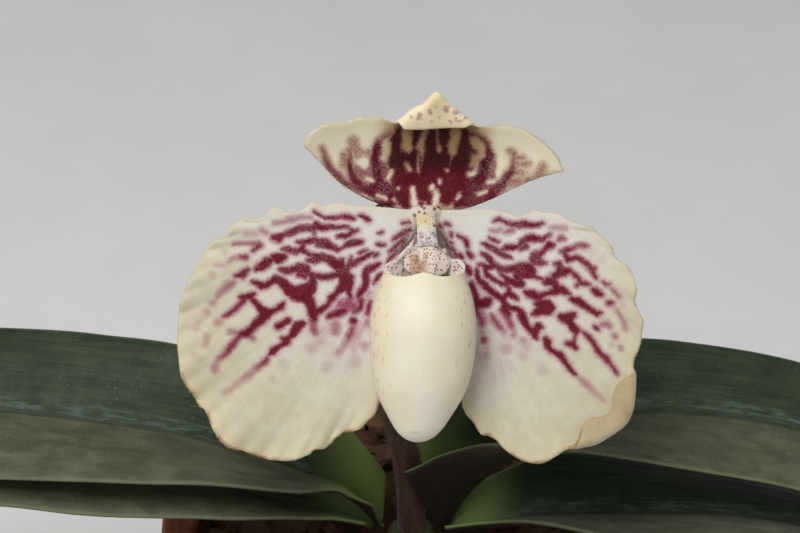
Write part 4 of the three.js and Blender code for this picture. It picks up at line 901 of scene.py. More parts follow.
WHITE = (0.70, 0.685, 0.635)
CREAM = (0.56, 0.515, 0.365)
SEPAL_CREAM = (0.80, 0.72, 0.53)
FLAP_PAINTED_LIGHT_CREAM = (0.90, 0.765, 0.53)
OLIVE_SHADE = (0.27, 0.175, 0.06)
RIM_BUFF = (0.62, 0.53, 0.34)
CLOUD_BUFF = (0.50, 0.43, 0.31)
PALE_BLOTCH = (0.72, 0.69, 0.60)
PALE_STREAK = (0.76, 0.72, 0.62)
LIMP = (0.47, 0.395, 0.245)
LIMP_FOOT = (0.42, 0.34, 0.205)
LIMP_BROWN = (0.33, 0.235, 0.125)
WORN_YELLOW = (0.62, 0.51, 0.29)
RUST_SPECK = (0.30, 0.14, 0.05)
RUST_RIM = (0.34, 0.19, 0.06)
MAROON = (0.140, 0.0065, 0.0165)
HOOD_MAROON = (0.100, 0.0055, 0.0105)
DEEP_MAROON = (0.060, 0.0035, 0.007)
HOOD_PAINTED_SHADE = (0.020, 0.0045, 0.0035)
ROSE = (0.245, 0.026, 0.068)
PINK = (0.40, 0.13, 0.19)
LILAC = (0.43, 0.17, 0.27)
MARK_SHEEN = (0.30, 0.20, 0.22)
KEEL_GREEN = (0.66, 0.62, 0.26)
FLAP_FLECK = (0.33, 0.10, 0.14)
BACK_DOT = (0.36, 0.13, 0.15)

# How a blade is coloured. A mark's edge strays by up to half of edge_depth, in about edge_grain waves a mm.
PETAL_LOOK = {
    "inner": WHITE, "outer": CREAM, "veil": LILAC, "halo": (0.40, 0.12, 0.20), "halo_force": 0.42,
    "mark": MAROON, "mark_force": 1.45, "edge_grain": 2.3, "edge_depth": 0.8,
}
HOOD_LOOK = {
    "inner": SEPAL_CREAM, "outer": SEPAL_CREAM, "veil": (0.27, 0.11, 0.075), "halo": (0.26, 0.08, 0.07),
    "halo_force": 0.22, "mark": HOOD_MAROON, "mark_force": 1.15, "edge_grain": 3.0, "edge_depth": 1.5,
}
HOOD_MIDDLE = 1.8


def petal_marks(marks, veil, seed):
    """What a petal keeps at its points: its marks and veil, and where it glints, is worn and has faded."""
    def numbers(x, y):
        mark, strength = strokes_depth(x, y, marks, 0.13, seed)
        soaked, pale = strokes_depth(x, y, veil, 0.75, seed + 20)
        reach = np.hypot(x, y)
        return {
            "mark": mark + 0.10, "strength": strength, "veil": pale * smooth(soaked, -0.9, 0.9),
            "reach": reach, "glint": smooth(y, -13, -6) * smooth(reach, 9, 12),
            "worn": smooth(-y, 17, 29), "faded": smooth(y, -34.5, -31.5),
        }
    return numbers


def sepal_marks(x, y):
    """What the hood keeps at its points: its bars less its windows, its flecks, keel, shade and glints."""
    mark, strength = strokes_depth(x, y, SEPAL_MARKS, 0.12, 31)
    windows, _ = strokes_depth(x, y, SEPAL_WINDOWS, 0.10, 37)
    flap, _ = strokes_depth(x, y, FLAP_SPECKS, 0.25, 39)
    bars = mark - 0.08 + 0.34 * smooth(strength, 0.4, 0.9)
    veil_reach = 1.1 + smooth(-y, -9, -5)
    off_middle = x - HOOD_MIDDLE
    return {
        "mark": np.minimum(bars, -windows), "strength": strength, "reach": np.hypot(x, y), "fleck": flap,
        "veil": 0.85 * smooth(mark, -veil_reach, 0.2) * smooth(-windows, -0.3, 0.3),
        "keel": np.exp(-(off_middle / 1.1) ** 2) * smooth(y, 6, 12),
        # Where shade is painted inside the hood, under its folded tip.
        "hood": smooth(y, 5.5, 8.5) * smooth(-abs(off_middle), -10.5, -6),
        "glint": smooth(abs(x - 1), 4.5, 8) * smooth(-y, -12.5, -7),
    }


def plain_marks(x, y):
    return {"mark": 0 * x - 3, "strength": 0 * x, "veil": 0 * x, "reach": np.hypot(x, y)}


def blade_ground(f, look, white_to):
    """The skin between the marks: pale at the blade's base, cream further out, and worn at a petal's rim. On
    the hood, shade is painted inside under the folded tip, and light is painted on the tip's folded-over
    back.
    """
    flat, back, rim, worn = f.place(), f.number("back"), f.number("rim"), f.number("worn")
    outward_share = f.plus(f.number("reach"), f.times(f.noise(flat, 0.16), 12.0))
    ground = f.mix(f.ramp(outward_share, white_to, white_to + 26), look["inner"], look["outer"])
    ground = f.over(ground, RIM_BUFF, f.ramp(rim, 0.0, 2.4, 0.5, 0.0))
    ground = f.over(ground, CLOUD_BUFF, f.ramp(f.noise(flat, 2.6, 4, 0.6), 0.35, 0.75, 0.0, 0.22))
    ground = f.over(ground, PALE_BLOTCH, f.ramp(f.noise(flat, 0.4, 3, 0.6), 0.42, 0.68, 0.0, 0.26))
    ground = f.over(ground, PALE_STREAK, f.ramp(f.noise(f.place("fan"), 0.9, 3, 0.6), 0.45, 0.66, 0.0, 0.11))
    if look is HOOD_LOOK:
        # Painted shade inside the hood, under its folded tip.
        ground = f.over(ground, OLIVE_SHADE, f.number("hood"), f.rest(back), 0.93)
        # Painted light: the back of the folded tip is a brighter, lit cream.
        ground = f.over(ground, FLAP_PAINTED_LIGHT_CREAM, f.number("folded"), back)
    else:
        limp = f.mix(f.number("faded"), LIMP, LIMP_FOOT)
        limp = f.over(limp, LIMP_BROWN, f.ramp(f.noise(flat, 0.5, 4, 0.6), 0.40, 0.72, 0.0, 0.55))
        ground = f.over(ground, limp, f.ramp(f.number("folded"), 1.0, 2.2), back)
    ground = f.over(ground, WORN_YELLOW, f.ramp(rim, 0.4, 5.5, 0.26, 0.0), worn)
    ground = f.over(ground, RUST_SPECK, f.dots(flat, 0.55, 0.13), worn, f.ramp(rim, 0.1, 1.0, 1.0, 0.0), 0.85)
    browned = f.ramp(f.noise(flat, 0.35, 3, 0.6), 0.38, 0.62)
    return f.over(ground, RUST_RIM, f.ramp(rim, 0.05, 0.7, 1.0, 0.0), browned, worn, 0.9)


def mark_tint(f, look, ragged):
    """The colour inside a mark: rose at its edge and where it is weak, and darker or glinting within. Inside
    the hood, under its folded tip, painted shade darkens it further.
    """
    flat, strength = f.place(), f.number("strength")
    tint = f.mix(f.ramp(strength, 0.15, 0.5), PINK, ROSE)
    tint = f.over(tint, look["mark"], f.ramp(strength, 0.5, 0.9))
    tint = f.over(tint, ROSE, f.ramp(ragged, -0.05, 0.5, 0.7, 0.0))
    tint = f.over(tint, ROSE, f.ramp(f.noise(flat, 1.7), 0.46, 0.66, 0.0, 0.34))
    tint = f.over(tint, DEEP_MAROON, f.ramp(f.noise(flat, 0.6), 0.42, 0.62), f.ramp(ragged, 0.25, 0.7), 0.5)
    if look is HOOD_LOOK:
        # Painted shade: the marks inside the hood are darkened under its folded tip.
        tint = f.over(tint, HOOD_PAINTED_SHADE, f.number("hood"), 0.75)
    net = f.ramp(f.noise(flat, 3.4, 3, 0.7), 0.47, 0.62)
    glitter = f.times(net, f.number("glint"), f.ramp(ragged, 0.05, 0.3))
    return f.over(tint, MARK_SHEEN, glitter, f.ramp(f.noise(flat, 0.45, 2), 0.40, 0.56), 0.7)


def hood_back(f, colour, stray):
    """The hood's outside: a green keel, flecks on the folded tip, and scattered dots."""
    flat, back = f.place(), f.number("back")
    colour = f.over(colour, KEEL_GREEN, f.number("keel"), back, 0.45)
    flecks = f.ramp(f.plus(f.number("fleck"), f.times(stray, 0.3)), -0.2, 0.12)
    colour = f.over(colour, FLAP_FLECK, flecks, back, 0.62)
    dots = f.dots(f.scaled(flat, 1.5, 0.8, 1), 0.95, 0.16)
    return f.over(colour, BACK_DOT, dots, back, f.ramp(f.noise(flat, 0.5, 2), 0.45, 0.6), 0.5)


def blade_finish(name, look, white_to, show_through):
    """Petal or sepal skin. Its marks show through on its back as strongly as show_through."""
    f = Finish(name)
    flat, fan, back, strength = f.place(), f.place("fan"), f.number("back"), f.number("strength")
    veil = f.times(f.number("veil"), f.ramp(f.noise(flat, 2.4, 4, 0.7), 0.3, 0.62, 0.4, 1.0))
    if look is PETAL_LOOK:
        veil = f.times(veil, f.ramp(f.noise(fan, 0.6, 1), 0.36, 0.60, 0.5, 1.1))
    colour = f.over(blade_ground(f, look, white_to), look["veil"], veil, f.rest(back))

    coarse = f.math("SUBTRACT", f.noise(flat, look["edge_grain"], 5, 0.7), 0.5)
    fine = f.math("SUBTRACT", f.noise(flat, 5.5, 2), 0.5)
    stray = f.plus(f.times(coarse, look["edge_depth"]), f.times(fine, 0.22))
    ragged = f.plus(f.number("mark"), stray)
    shown = f.ramp(back, 0, 1, 1.0, show_through)
    force = f.math("MINIMUM", f.times(strength, look["mark_force"]), 1.0)
    colour = f.over(colour, look["halo"], f.ramp(ragged, -0.85, 0.05), force, look["halo_force"], shown)
    soft = f.ramp(strength, 0.3, 1.0, 0.56, 0.36)
    inside = f.ramp(ragged, f.times(soft, -1.0), soft)
    colour = f.over(colour, mark_tint(f, look, ragged), inside, force, shown)
    if look is HOOD_LOOK:
        colour = hood_back(f, colour, stray)

    height = f.plus(f.times(f.noise(flat, 5.0, 3, 0.7), 0.45), f.times(f.noise(fan, 1.0), 0.45))
    return f.finish(
        Base_Color=colour, Roughness=f.ramp(f.noise(flat, 2.6, 4, 0.6), 0.3, 0.7, 0.45, 0.65),
        Normal=f.bump(height, 0.00020, 0.6), Subsurface_Weight=0.08,
        Subsurface_Radius=(0.0007, 0.0004, 0.0003), Subsurface_Scale=1.0, Sheen_Weight=0.02,
        Sheen_Roughness=0.5, Specular_IOR_Level=0.12,
    )


def shaded(piece, **shade):
    """The piece, with the same numbers kept at all its points."""
    for key, value in shade.items():
        layer = piece.data.attributes.new(key, "FLOAT", "POINT")
        layer.data.foreach_set("value", [value] * len(piece.data.vertices))
    return piece


# Where hairs grow beside the column, as tufts() reads them.
LEFT_TUFTS = [(110, -3.3, -4.2, 0.1, 1, 2), (110, -4.4, -6.2, 0.1, 1.4, 2), (60, -1.4, -2.6, 1.4, 0.3, 0.8),
              (80, -1.5, -4.3, 3.2, 0.3, 0.9)]
RIGHT_TUFTS = [(110, 2.9, -4.4, 0.1, 1, 2), (90, 4.2, -6.6, 0.1, 1.2, 2), (60, 1.6, -2.6, 1.4, 0.3, 0.8),
               (80, 1.8, -4.3, 3.2, 0.3, 0.9)]


def tufts(patches, length, width, seed):
    """Fine hairs on a blade's front. A patch is (count, x, y, z, half width, half height), in the flower."""
    draw = np.random.default_rng(seed)
    roots = np.vstack([np.array([x, y, z]) + draw.normal(0, 0.5, (count, 3)) * [across, up, 0.1]
                       for count, x, y, z, across, up in patches])
    ways = unit(np.stack([-0.5 * roots[:, 0], -2 - 0 * roots[:, 0], 3 + 0 * roots[:, 0]], -1))
    world = flower_to_world(roots)
    piece = hairs("tuft", world, flower_to_world(roots + ways) - world, length, width, seed + 1)
    return shaded(piece, mark=-3.0, strength=0.0, veil=0.75, reach=8.0, rim=5.0)


def read_points(layer, key):
    """The vectors of a mesh layer, one for each point."""
    values = np.empty(3 * len(layer))
    layer.foreach_get(key, values)
    return values.reshape(-1, 3)


def fringe(piece, count, length, seed, keep):
    """Short hairs along a blade's edge, joined to it. keep(x, y) says where they grow."""
    flat = read_points(piece.data.attributes["flat"].data, "vector")
    places = read_points(piece.data.vertices, "co") / MM
    rim = np.empty(len(places))
    piece.data.attributes["rim"].data.foreach_get("value", rim)
    at_edge = np.flatnonzero((rim < 0.05) & keep(flat[:, 0], flat[:, 1]))
    draw = np.random.default_rng(seed)
    chosen = draw.choice(at_edge, count)
    start = flat[chosen] * [1, 1, 0]
    ways = unit(start) + draw.normal(0, HAIR_SCATTER, (count, 3))
    directions = flower_to_world(start + ways) - flower_to_world(start)
    strands = hairs("fringe", places[chosen], directions, length, 0.035, seed + 1)
    join(piece, shaded(strands, mark=-3.0, strength=0.0, veil=0.0, reach=20.0, rim=5.0))


def add_blades():
    petal_skin = blade_finish("petal_skin", PETAL_LOOK, 21, 0.22)
    sepal_skin = blade_finish("sepal_skin", HOOD_LOOK, 4, 0.06)
    plain_skin = blade_finish("synsepal_skin", PETAL_LOOK, 10, 0.2)
    for side, blade, marks, patches, seed, lowest_fringe in (
        ("left", LEFT_PETAL, petal_marks(LEFT_MARKS, LEFT_VEIL, 1), LEFT_TUFTS, 3, -99),
        ("right", RIGHT_PETAL, petal_marks(RIGHT_MARKS, RIGHT_VEIL, 11), RIGHT_TUFTS, 5, -24),
    ):
        petal = blade.build(f"petal_{side}_skin", 260, 130, marks)
        join(petal, tufts(patches, 1.3, 0.05, seed))
        fringe(petal, 500, 0.3, seed + 4, lambda x, y: y > lowest_fringe)
        paint(petal, petal_skin, f"petal_{side}")
    dorsal = DORSAL_SEPAL.build("dorsal_sepal_skin", 230, 120, sepal_marks)
    fringe(dorsal, 900, 0.42, 13, lambda x, y: (np.abs(x - HOOD_MIDDLE) > 8) & (y > 4))
    paint(dorsal, sepal_skin, "dorsal_sepal")
    paint(SYNSEPAL.build("synsepal_skin", 70, 60, plain_marks), plain_skin, "synsepal")


# ---------------------------------------------------------------- lip, column, staminode and anthers

LIP_TIP = -35.8
LIP_LENGTH = 26.0
LIP_HALF_WIDTH = 8.3
LIP_HALF_DEPTH = 7.0
LIP_WIDEST = 0.65
LIP_WALL = 0.9

# The lip's wavy mouth, as (degrees from the front, rise) pairs, and its claw, which rises behind the column.
MOUTH_WAVE = [(0, 0.006), (30, -0.02), (60, -0.006), (82, 0.032), (112, 0.018), (150, 0), (180, 0)]
CLAW_RISE = 0.262
CLAW_NARROWING = 13.0
FULL_WALL_FROM = 2.4


def lip_points(angle, share, inside):
    """Points of the pouch's outer or inner face, round its axis (0 is the front) and up from its tip."""
    turned = np.degrees(np.abs((angle + np.pi) % (2 * np.pi) - np.pi))
    backward = ((1 - np.cos(angle)) / 2) ** 4
    mouth = 1 + CLAW_RISE * backward + along(MOUTH_WAVE, turned)
    height = mouth * (1 - np.cos(share * np.pi / 2))
    round_part = LIP_HALF_WIDTH * np.sqrt(np.clip(1 - (1 - height / LIP_WIDEST) ** 2, 0, 1))
    round_part = round_part * (1 - 0.09 * np.exp(-((height - 0.13) / 0.12) ** 2))
    shoulder = np.clip(np.minimum(height, 1) - LIP_WIDEST, 0, None)
    wide = np.where(height <= LIP_WIDEST, round_part, LIP_HALF_WIDTH * np.sqrt(1 - (shoulder / 0.54) ** 2))
    wide = wide - CLAW_NARROWING * np.maximum(0, height - 1)
    deep = wide * LIP_HALF_DEPTH / LIP_HALF_WIDTH
    lift = 0
    if inside:
        lift = LIP_WALL * 1.1 * (1 - height / mouth)
        wide, deep = (half - LIP_WALL * np.minimum(1, half / FULL_WALL_FROM) for half in (wide, deep))
    centre_x = -0.3 - 0.9 * (1 - np.minimum(height, 1)) ** 2
    centre_z = 8.5 + 1.4 * np.minimum(height, LIP_WIDEST) - 16.5 * np.maximum(0, height - LIP_WIDEST) ** 2
    return np.stack([centre_x + wide * np.sin(angle), LIP_TIP + LIP_LENGTH * height + lift,
                     centre_z + deep * np.cos(angle)], -1)


def side_lobe(name, centre, degrees):
    """A small rounded flap of the lip, folded in beside the column."""
    points, faces = ellipsoid(48, 30)
    x, y, z = points.T
    shaped = np.stack([1.75 * x * (1 + 0.12 * y), 1.5 * y, 0.42 * z + 0.30 * (x * x + y * y) - 0.3], -1)
    shaped[:, 2] += 0.06 * value_noise(2 * shaped[:, 0], 2 * shaped[:, 1], 6)
    placed = shaped @ rotation(1, math.radians(degrees)).T + centre
    return flower_body(name, placed, faces, {"flat": placed, "lobe": np.ones(len(placed))})


def pouch_body():
    """The hollow slipper: its outer face, a round bead along its mouth, and its inner face."""
    around, rows, bead_rows = 180, 100, 5
    angle = np.linspace(0, 2 * np.pi, around, endpoint=False)
    angle, share = np.meshgrid(angle, np.arange(1, rows + 1) / rows)
    outer, inner = lip_points(angle, share, False), lip_points(angle, share, True)[::-1]
    turn = np.pi * np.arange(1, bead_rows + 1)[:, None, None] / (bead_rows + 1)
    bead = (outer[-1] + inner[0]) / 2 + np.cos(turn) * (outer[-1] - inner[0]) / 2
    bead = bead + np.sin(turn) * np.array([0, 0.3, 0])
    first, last = (lip_points(np.zeros(1), np.zeros(1), inside)[0] for inside in (False, True))
    points, faces = ring_body(first, np.concatenate([outer, bead, inner]), last)
    x, y, z = points.T
    inside = np.arange(len(points)) > around * (rows + bead_rows // 2)
    return flower_body("pouch_skin", points, faces, {
        "flat": points, "inside": inside, "flank": smooth(np.abs(x + 0.6), 3.2, 7.6),
        "top": smooth(y, LIP_TIP + LIP_LENGTH * 0.82, LIP_TIP + LIP_LENGTH * 1.02),
        "tip_mark": np.exp(-((x + 1.6) / 0.75) ** 2 - ((y + 34.1) / 0.14) ** 2) * (1 - inside),
        "highlight_band": np.exp(-((x + 1) / 2.4) ** 2), "lobe": smooth(y, -10.0, -9.0) * smooth(-z, -6.5, -5.5),
    })


POUCH_PALE, POUCH_CREAM = (0.805, 0.745, 0.60), (0.77, 0.695, 0.52)
POUCH_TOP, POUCH_HIGHLIGHT_BAND, POUCH_FLANK = (0.80, 0.70, 0.45), (0.83, 0.785, 0.675), (0.72, 0.60, 0.39)
POUCH_SPECK, POUCH_TIP, POUCH_DOT = (0.48, 0.20, 0.22), (0.35, 0.33, 0.12), (0.34, 0.03, 0.07)
LOBE_PALE, LOBE_RED = (0.70, 0.62, 0.58), (0.28, 0.03, 0.05)


def pouch_finish():
    """Waxy cream, yellower at its sides and top, with a painted highlight down its middle, faint specks
    outside and red dots inside.
    """
    f = Finish("pouch_skin")
    flat, flank, lobe = f.place(), f.number("flank"), f.number("lobe")
    ground = f.mix(f.ramp(f.noise(flat, 0.22), 0.35, 0.7), POUCH_PALE, POUCH_CREAM)
    ground = f.over(ground, POUCH_TOP, f.number("top"), 0.4)
    # A painted highlight: a whiter band down the pouch's middle.
    ground = f.over(ground, POUCH_HIGHLIGHT_BAND, f.number("highlight_band"), 0.4)
    ground = f.over(ground, POUCH_FLANK, flank, 0.42)
    specks = f.ramp(f.cells(f.scaled(flat, 1.4, 0.55, 1.0), 0.95), 0.16, 0.35, 1.0, 0.0)
    patches = f.ramp(f.noise(flat, 0.3, 2), 0.32, 0.52)
    ground = f.over(ground, POUCH_SPECK, specks, patches, f.plus(f.times(flank, 0.44), 0.04))
    ground = f.over(ground, POUCH_TIP, f.number("tip_mark"), 0.6)
    ground = f.over(ground, POUCH_DOT, f.dots(flat, 1.5, 0.3), f.number("inside"), 0.8)
    ground = f.over(ground, LOBE_PALE, lobe)
    red = f.ramp(f.plus(f.cells(flat, 1.75), f.times(f.noise(flat, 3.0, 2), 0.12)), 0.34, 0.44, 1.0, 0.0)
    ground = f.over(ground, LOBE_RED, red, lobe, 0.8)
    height = f.plus(f.noise(flat, 0.8), f.times(f.noise(flat, 5.0, 2), 0.18))
    return f.finish(
        Base_Color=ground, Roughness=f.ramp(f.noise(flat, 1.4), 0.3, 0.7, 0.42, 0.56),
        Normal=f.bump(height, 0.00022, 0.4), Subsurface_Weight=0.22,
        Subsurface_Radius=(0.0014, 0.0010, 0.0006), Subsurface_Scale=1.0, Specular_IOR_Level=0.32,
    )


def add_pouch():
    pouch = pouch_body()
    join(pouch, side_lobe("lobe_left", (-4.9, -9.2, 8.3), 28), side_lobe("lobe_right", (4.6, -8.8, 8.2), -28))
    paint(pouch, pouch_finish(), "lip_pouch")


DOT_CLOUD, COLUMN_YELLOW, SHIELD_BROWN = (0.78, 0.68, 0.50), (0.66, 0.52, 0.20), (0.46, 0.25, 0.13)
FOOT_PALE, FOOT_STREAK, TONGUE_WHITE = (0.74, 0.70, 0.68), (0.34, 0.20, 0.25), (0.84, 0.80, 0.75)


def dotted_finish(name, ground, dot, dot_size, scale):
    """Pale skin with red dots.

    A piece keeps the numbers "yellow", "brown", "foot", "spot" and "tongue" where it is coloured so. One that
    it doesn't keep counts as 0.
    """
    f = Finish(name)
    flat, foot, tongue = f.place(), f.number("foot"), f.number("tongue")
    colour = f.over(ground, DOT_CLOUD, f.ramp(f.noise(flat, 0.6), 0.3, 0.7, 0.0, 0.4))
    colour = f.over(colour, COLUMN_YELLOW, f.number("yellow"), 0.8)
    colour = f.over(colour, SHIELD_BROWN, f.number("brown"), f.ramp(f.noise(flat, 1.6), 0.3, 0.6, 0.5, 0.95))
    streaks = f.ramp(f.noise(f.scaled(flat, 2.2, 0.4, 1.2), 1.2, 3, 0.6), 0.42, 0.6, 0.0, 0.75)
    colour = f.over(colour, FOOT_PALE, foot, 0.8)
    colour = f.over(colour, FOOT_STREAK, foot, streaks)
    distance = f.plus(f.cells(flat, scale), f.times(f.noise(flat, 4.0, 2), 0.12))
    dots = f.ramp(distance, dot_size, dot_size + 0.08, 1.0, 0.0)
    patches = f.ramp(f.noise(flat, 0.9, 2), 0.3, 0.5, 0.3, 0.95)
    colour = f.over(colour, dot, dots, patches, f.rest(tongue))
    colour = f.over(colour, dot, f.ramp(f.number("spot"), 0.3, 0.6, 0.0, 0.9))
    colour = f.over(colour, TONGUE_WHITE, tongue, 0.95)
    height = f.plus(f.noise(flat, 3.2), f.times(f.cells(flat, 4.5), 0.5))
    return f.finish(
        Base_Color=colour, Roughness=f.ramp(f.noise(flat, 2.0, 2), 0.3, 0.7, 0.35, 0.55),
        Normal=f.bump(height, 0.00015, 0.6), Subsurface_Weight=0.2,
        Subsurface_Radius=(0.0008, 0.0006, 0.0004), Subsurface_Scale=1.0,
    )


def ridge(value, centre, width):
    """A bell-shaped ridge, 1 high at its centre."""
    return np.exp(-((value - centre) / width) ** 2)


def add_staminode():
    """The shield: broad and cleft, with a pale tongue down its cleft, two cheeks and a brown middle."""
    points, faces = ellipsoid(120, 80)
    x, y, z = points.T
    front = np.maximum(0, z)
    wide = 3.6 * x * (1 - 0.42 * smooth(y, 0.0, 1.0)) * (1 + 0.06 * smooth(-y, 0.1, 0.9))
    tall = 2.85 * y
    tongue = ridge(wide, -0.8, 0.26) * smooth(tall, -0.5, 0.3) * smooth(-tall, -2.4, -1.6)
    relief = 0.45 * tongue - 0.5 * ridge(wide, -0.8, 0.7)
    relief = relief + 0.25 * (ridge(wide, 1.3, 1.1) + 0.7 * ridge(wide, -2.5, 0.6))
    relief = relief + 0.09 * value_noise(wide * 2.2, tall * 2.2, 4)
    shaped = np.stack([wide, tall, 0.75 * z + relief * front], -1)
    brown = smooth(wide, -3.0, -2.4) * smooth(-wide, -0.4, 0.5) * smooth(-tall, -1.6, -0.6)
    brown = brown * smooth(z, -0.1, 0.1)
    placed = shaped @ rotation(0, math.radians(-14)).T + [0.2, -7.75, 8.4]
    piece = flower_body("staminode_skin", placed, faces, {
        "flat": shaped, "brown": brown, "tongue": tongue * front,
    })
    skin = dotted_finish("staminode_skin", (0.66, 0.57, 0.50), (0.22, 0.035, 0.045), 0.34, 2.1)
    paint(piece, skin, "staminode")


COLUMN_SPOTS = [                       # across, up and size in the flower's frame, in millimetres
    (-0.56, 1.05, 0.28), (-0.16, 0.7, 0.26), (-0.95, 0.07, 0.24), (-0.08, -0.12, 0.24), (1.5, 0.6, 0.3),
    (-1.65, -0.42, 0.3), (1.4, -2.1, 0.26), (0.63, -4.07, 0.22), (-0.48, -3.93, 0.2), (-1.7, -4.1, 0.3),
]
PETALS_AT = 0.21                       # share of the column's length at which it leaves the petals


def column_reach(t, angle):
    """The column's radius: a little wider where it leaves the petals, and slimmer in the middle."""
    flare = 0.38 * np.exp(-((t - PETALS_AT) / 0.075) ** 2)
    slimmed = 0.98 - 0.24 * smooth(t, 0.12, 0.5) + 0.10 * smooth(t, 0.7, 1.0)
    return COLUMN_RADIUS * (slimmed + flare) + 0 * angle


def add_column():
    """The column. Its upper side slopes down from the dorsal sepal and leaves the sepal's foot in view."""
    path = [(0, 0, -2.45), (0, 0, 0.6), (0.1, -1, 3.2), (0.3, -3.4, 5.4), (0.4, -5.6, 6.9)]
    centres, rings = stem_rings(Curve(path), column_reach, 60, 56)
    points, faces = ring_body(centres[0], rings, centres[-1])
    x, y, z = points.T
    middle = along([(z, y) for _, y, z in path], z)
    slope = 1 - 0.52 * smooth(z, -2.45, -1.8) - 0.12 * smooth(z, -1.8, 0.6)
    y = middle + np.where(y > middle, (y - middle) * slope, y - middle)
    x = x * (1 - 0.2 * smooth(z, -2.45, -1.8))
    shaped = np.stack([x, y, z], -1)
    spots = [np.exp(-((x - at_x) ** 2 + (y - at_y) ** 2) / size ** 2) for at_x, at_y, size in COLUMN_SPOTS]
    post = flower_body("column_skin", shaped, faces, {
        "flat": shaped, "yellow": ridge(x, -0.3, 1.3) * ridge(y, -1.2, 0.9), "foot": smooth(-y, 2.3, 3.6),
        "spot": np.max(spots, axis=0),
    })
    knob, knob_faces = ellipsoid(48, 30)
    stigma = knob * [2.1, 2.2, 1.3] @ rotation(0, math.radians(35)).T + [0.15, -6.2, 5]
    none = np.zeros(len(stigma))
    pad = flower_body("stigma", stigma, knob_faces, {"flat": stigma, "yellow": none, "foot": none + 1})
    combine(post, pad, "UNION")
    post.data.polygons.foreach_set("use_smooth", [True] * len(post.data.polygons))
    skin = dotted_finish("column_skin", (0.71, 0.67, 0.57), (0.20, 0.030, 0.040), 0.20, 1.15)
    paint(post, skin, "column")


def add_anthers():
    skin = dotted_finish("anther_skin", (0.60, 0.52, 0.40), (0.36, 0.16, 0.15), 0.28, 2.6)
    points, faces = ellipsoid(40, 26)
    seam = 1 - 0.18 * ridge(points[:, 1:2], 0, 0.16)
    for name, side in (("left", -1), ("right", 1)):
        placed = points * [0.5, 1.0, 1.1] * seam + [0.15 + side * 2.8, -6.6, 5.4]
        anther = flower_body(f"anther_{name}_skin", placed, faces, {"flat": placed})
        paint(anther, skin, f"anther_{name}")


# ---------------------------------------------------------------- leaves

def soil_path(*points):
    """Points given by x, y and their height over the bark mix."""
    return [(x, y, SOIL_LEVEL + height) for x, y, height in points]


# A leaf's keel, then its half width, how steeply each half rises from the keel and how far the blade turns
# about it, as (share of the length, value) pairs, and how its clasping base leans.
LEAVES = {
    "leaf_upper_left": dict(
        keel=soil_path((-5.2, 1.5, 1.9), (-10.7, 3.4, 8.6), (-21, 4, 13.2), (-36, 4, 19.6), (-55, 4, 24),
                       (-75, 4, 26.6), (-100, 3, 26), (-128, 1, 19)),
        half_width=[(0, 11), (0.15, 14), (0.4, 16.5), (0.65, 16), (0.82, 13), (0.93, 8.4), (0.975, 4.6),
                    (1, 0.7)],
        fold=[(0, 70), (0.07, 62), (0.15, 46), (0.265, 33), (0.41, 21), (0.56, 13), (1, 12)],
        roll=[(0, 6), (0.07, 19), (0.15, 17), (0.4, 13), (1, 11)],
        lean=0.0,
    ),
    "leaf_lower_left": dict(
        keel=soil_path((-7, 1.7, 1.2), (-13, 3, 3.7), (-19.5, 3, 6.6), (-36, 2.5, 13.4), (-55, 2, 17.5),
                       (-72, 2, 19.3), (-92, 0, 17.5), (-114, -3, 10)),
        half_width=[(0, 8), (0.2, 12), (0.45, 14.5), (0.7, 13.5), (0.88, 9.2), (0.96, 5.2), (1, 0.7)],
        fold=[(0, 50), (0.12, 36), (0.28, 17), (0.5, 9), (1, 12)],
        roll=[(0, 0), (0.12, 8), (0.3, 7), (1, 7)],
        lean=0.0,
    ),
    "leaf_upper_right": dict(
        keel=soil_path((5.3, 0.5, 1.7), (8, 0.7, 7.8), (11.6, 1, 13.4), (17.6, 2, 18.4), (27, 3, 23.5),
                       (38, 4, 26), (54, 4, 25), (70, 4, 21), (96, 3, 9), (120, 2, -7)),
        half_width=[(0, 21), (0.07, 17), (0.14, 15), (0.3, 14.3), (0.62, 14), (0.8, 12), (0.93, 7.6),
                    (0.98, 3.8), (1, 0.7)],
        fold=[(0, 70), (0.12, 64), (0.22, 44), (0.32, 22), (0.42, 11), (0.6, 7), (1, 10)],
        roll=[(0, 8), (0.12, 0), (0.32, -11), (1, -13)],
        lean=-0.37,
    ),
    "leaf_lower_right": dict(
        keel=soil_path((7, 0.4, 1.2), (15, -1.5, 5), (25, -3, 8.4), (40, -4, 9.6), (54, -4, 9.2),
                       (68, -4, 6.5), (88, -5, -2), (106, -6, -13)),
        half_width=[(0, 8), (0.2, 12), (0.45, 13.5), (0.7, 13), (0.88, 9), (0.96, 5), (1, 0.7)],
        fold=[(0, 52), (0.15, 40), (0.35, 14), (0.6, 8), (1, 12)],
        roll=[(0, 0), (0.3, 6), (0.4, 10), (0.65, 16), (1, 14)],
        lean=0.0,
    ),
}
LEAF_COLUMNS, LEAF_ROWS = 56, 160
LEAF_RIM_HALF = 0.21                   # half the thickness at the rim
LEAF_RIM_REACH = 2.2                   # how far in from its rim a leaf gets its full thickness
KEEL_ROUNDING = 0.003
ROW_CROWDING = 0.175                   # rows lie a little closer in the middle of a leaf than at its ends


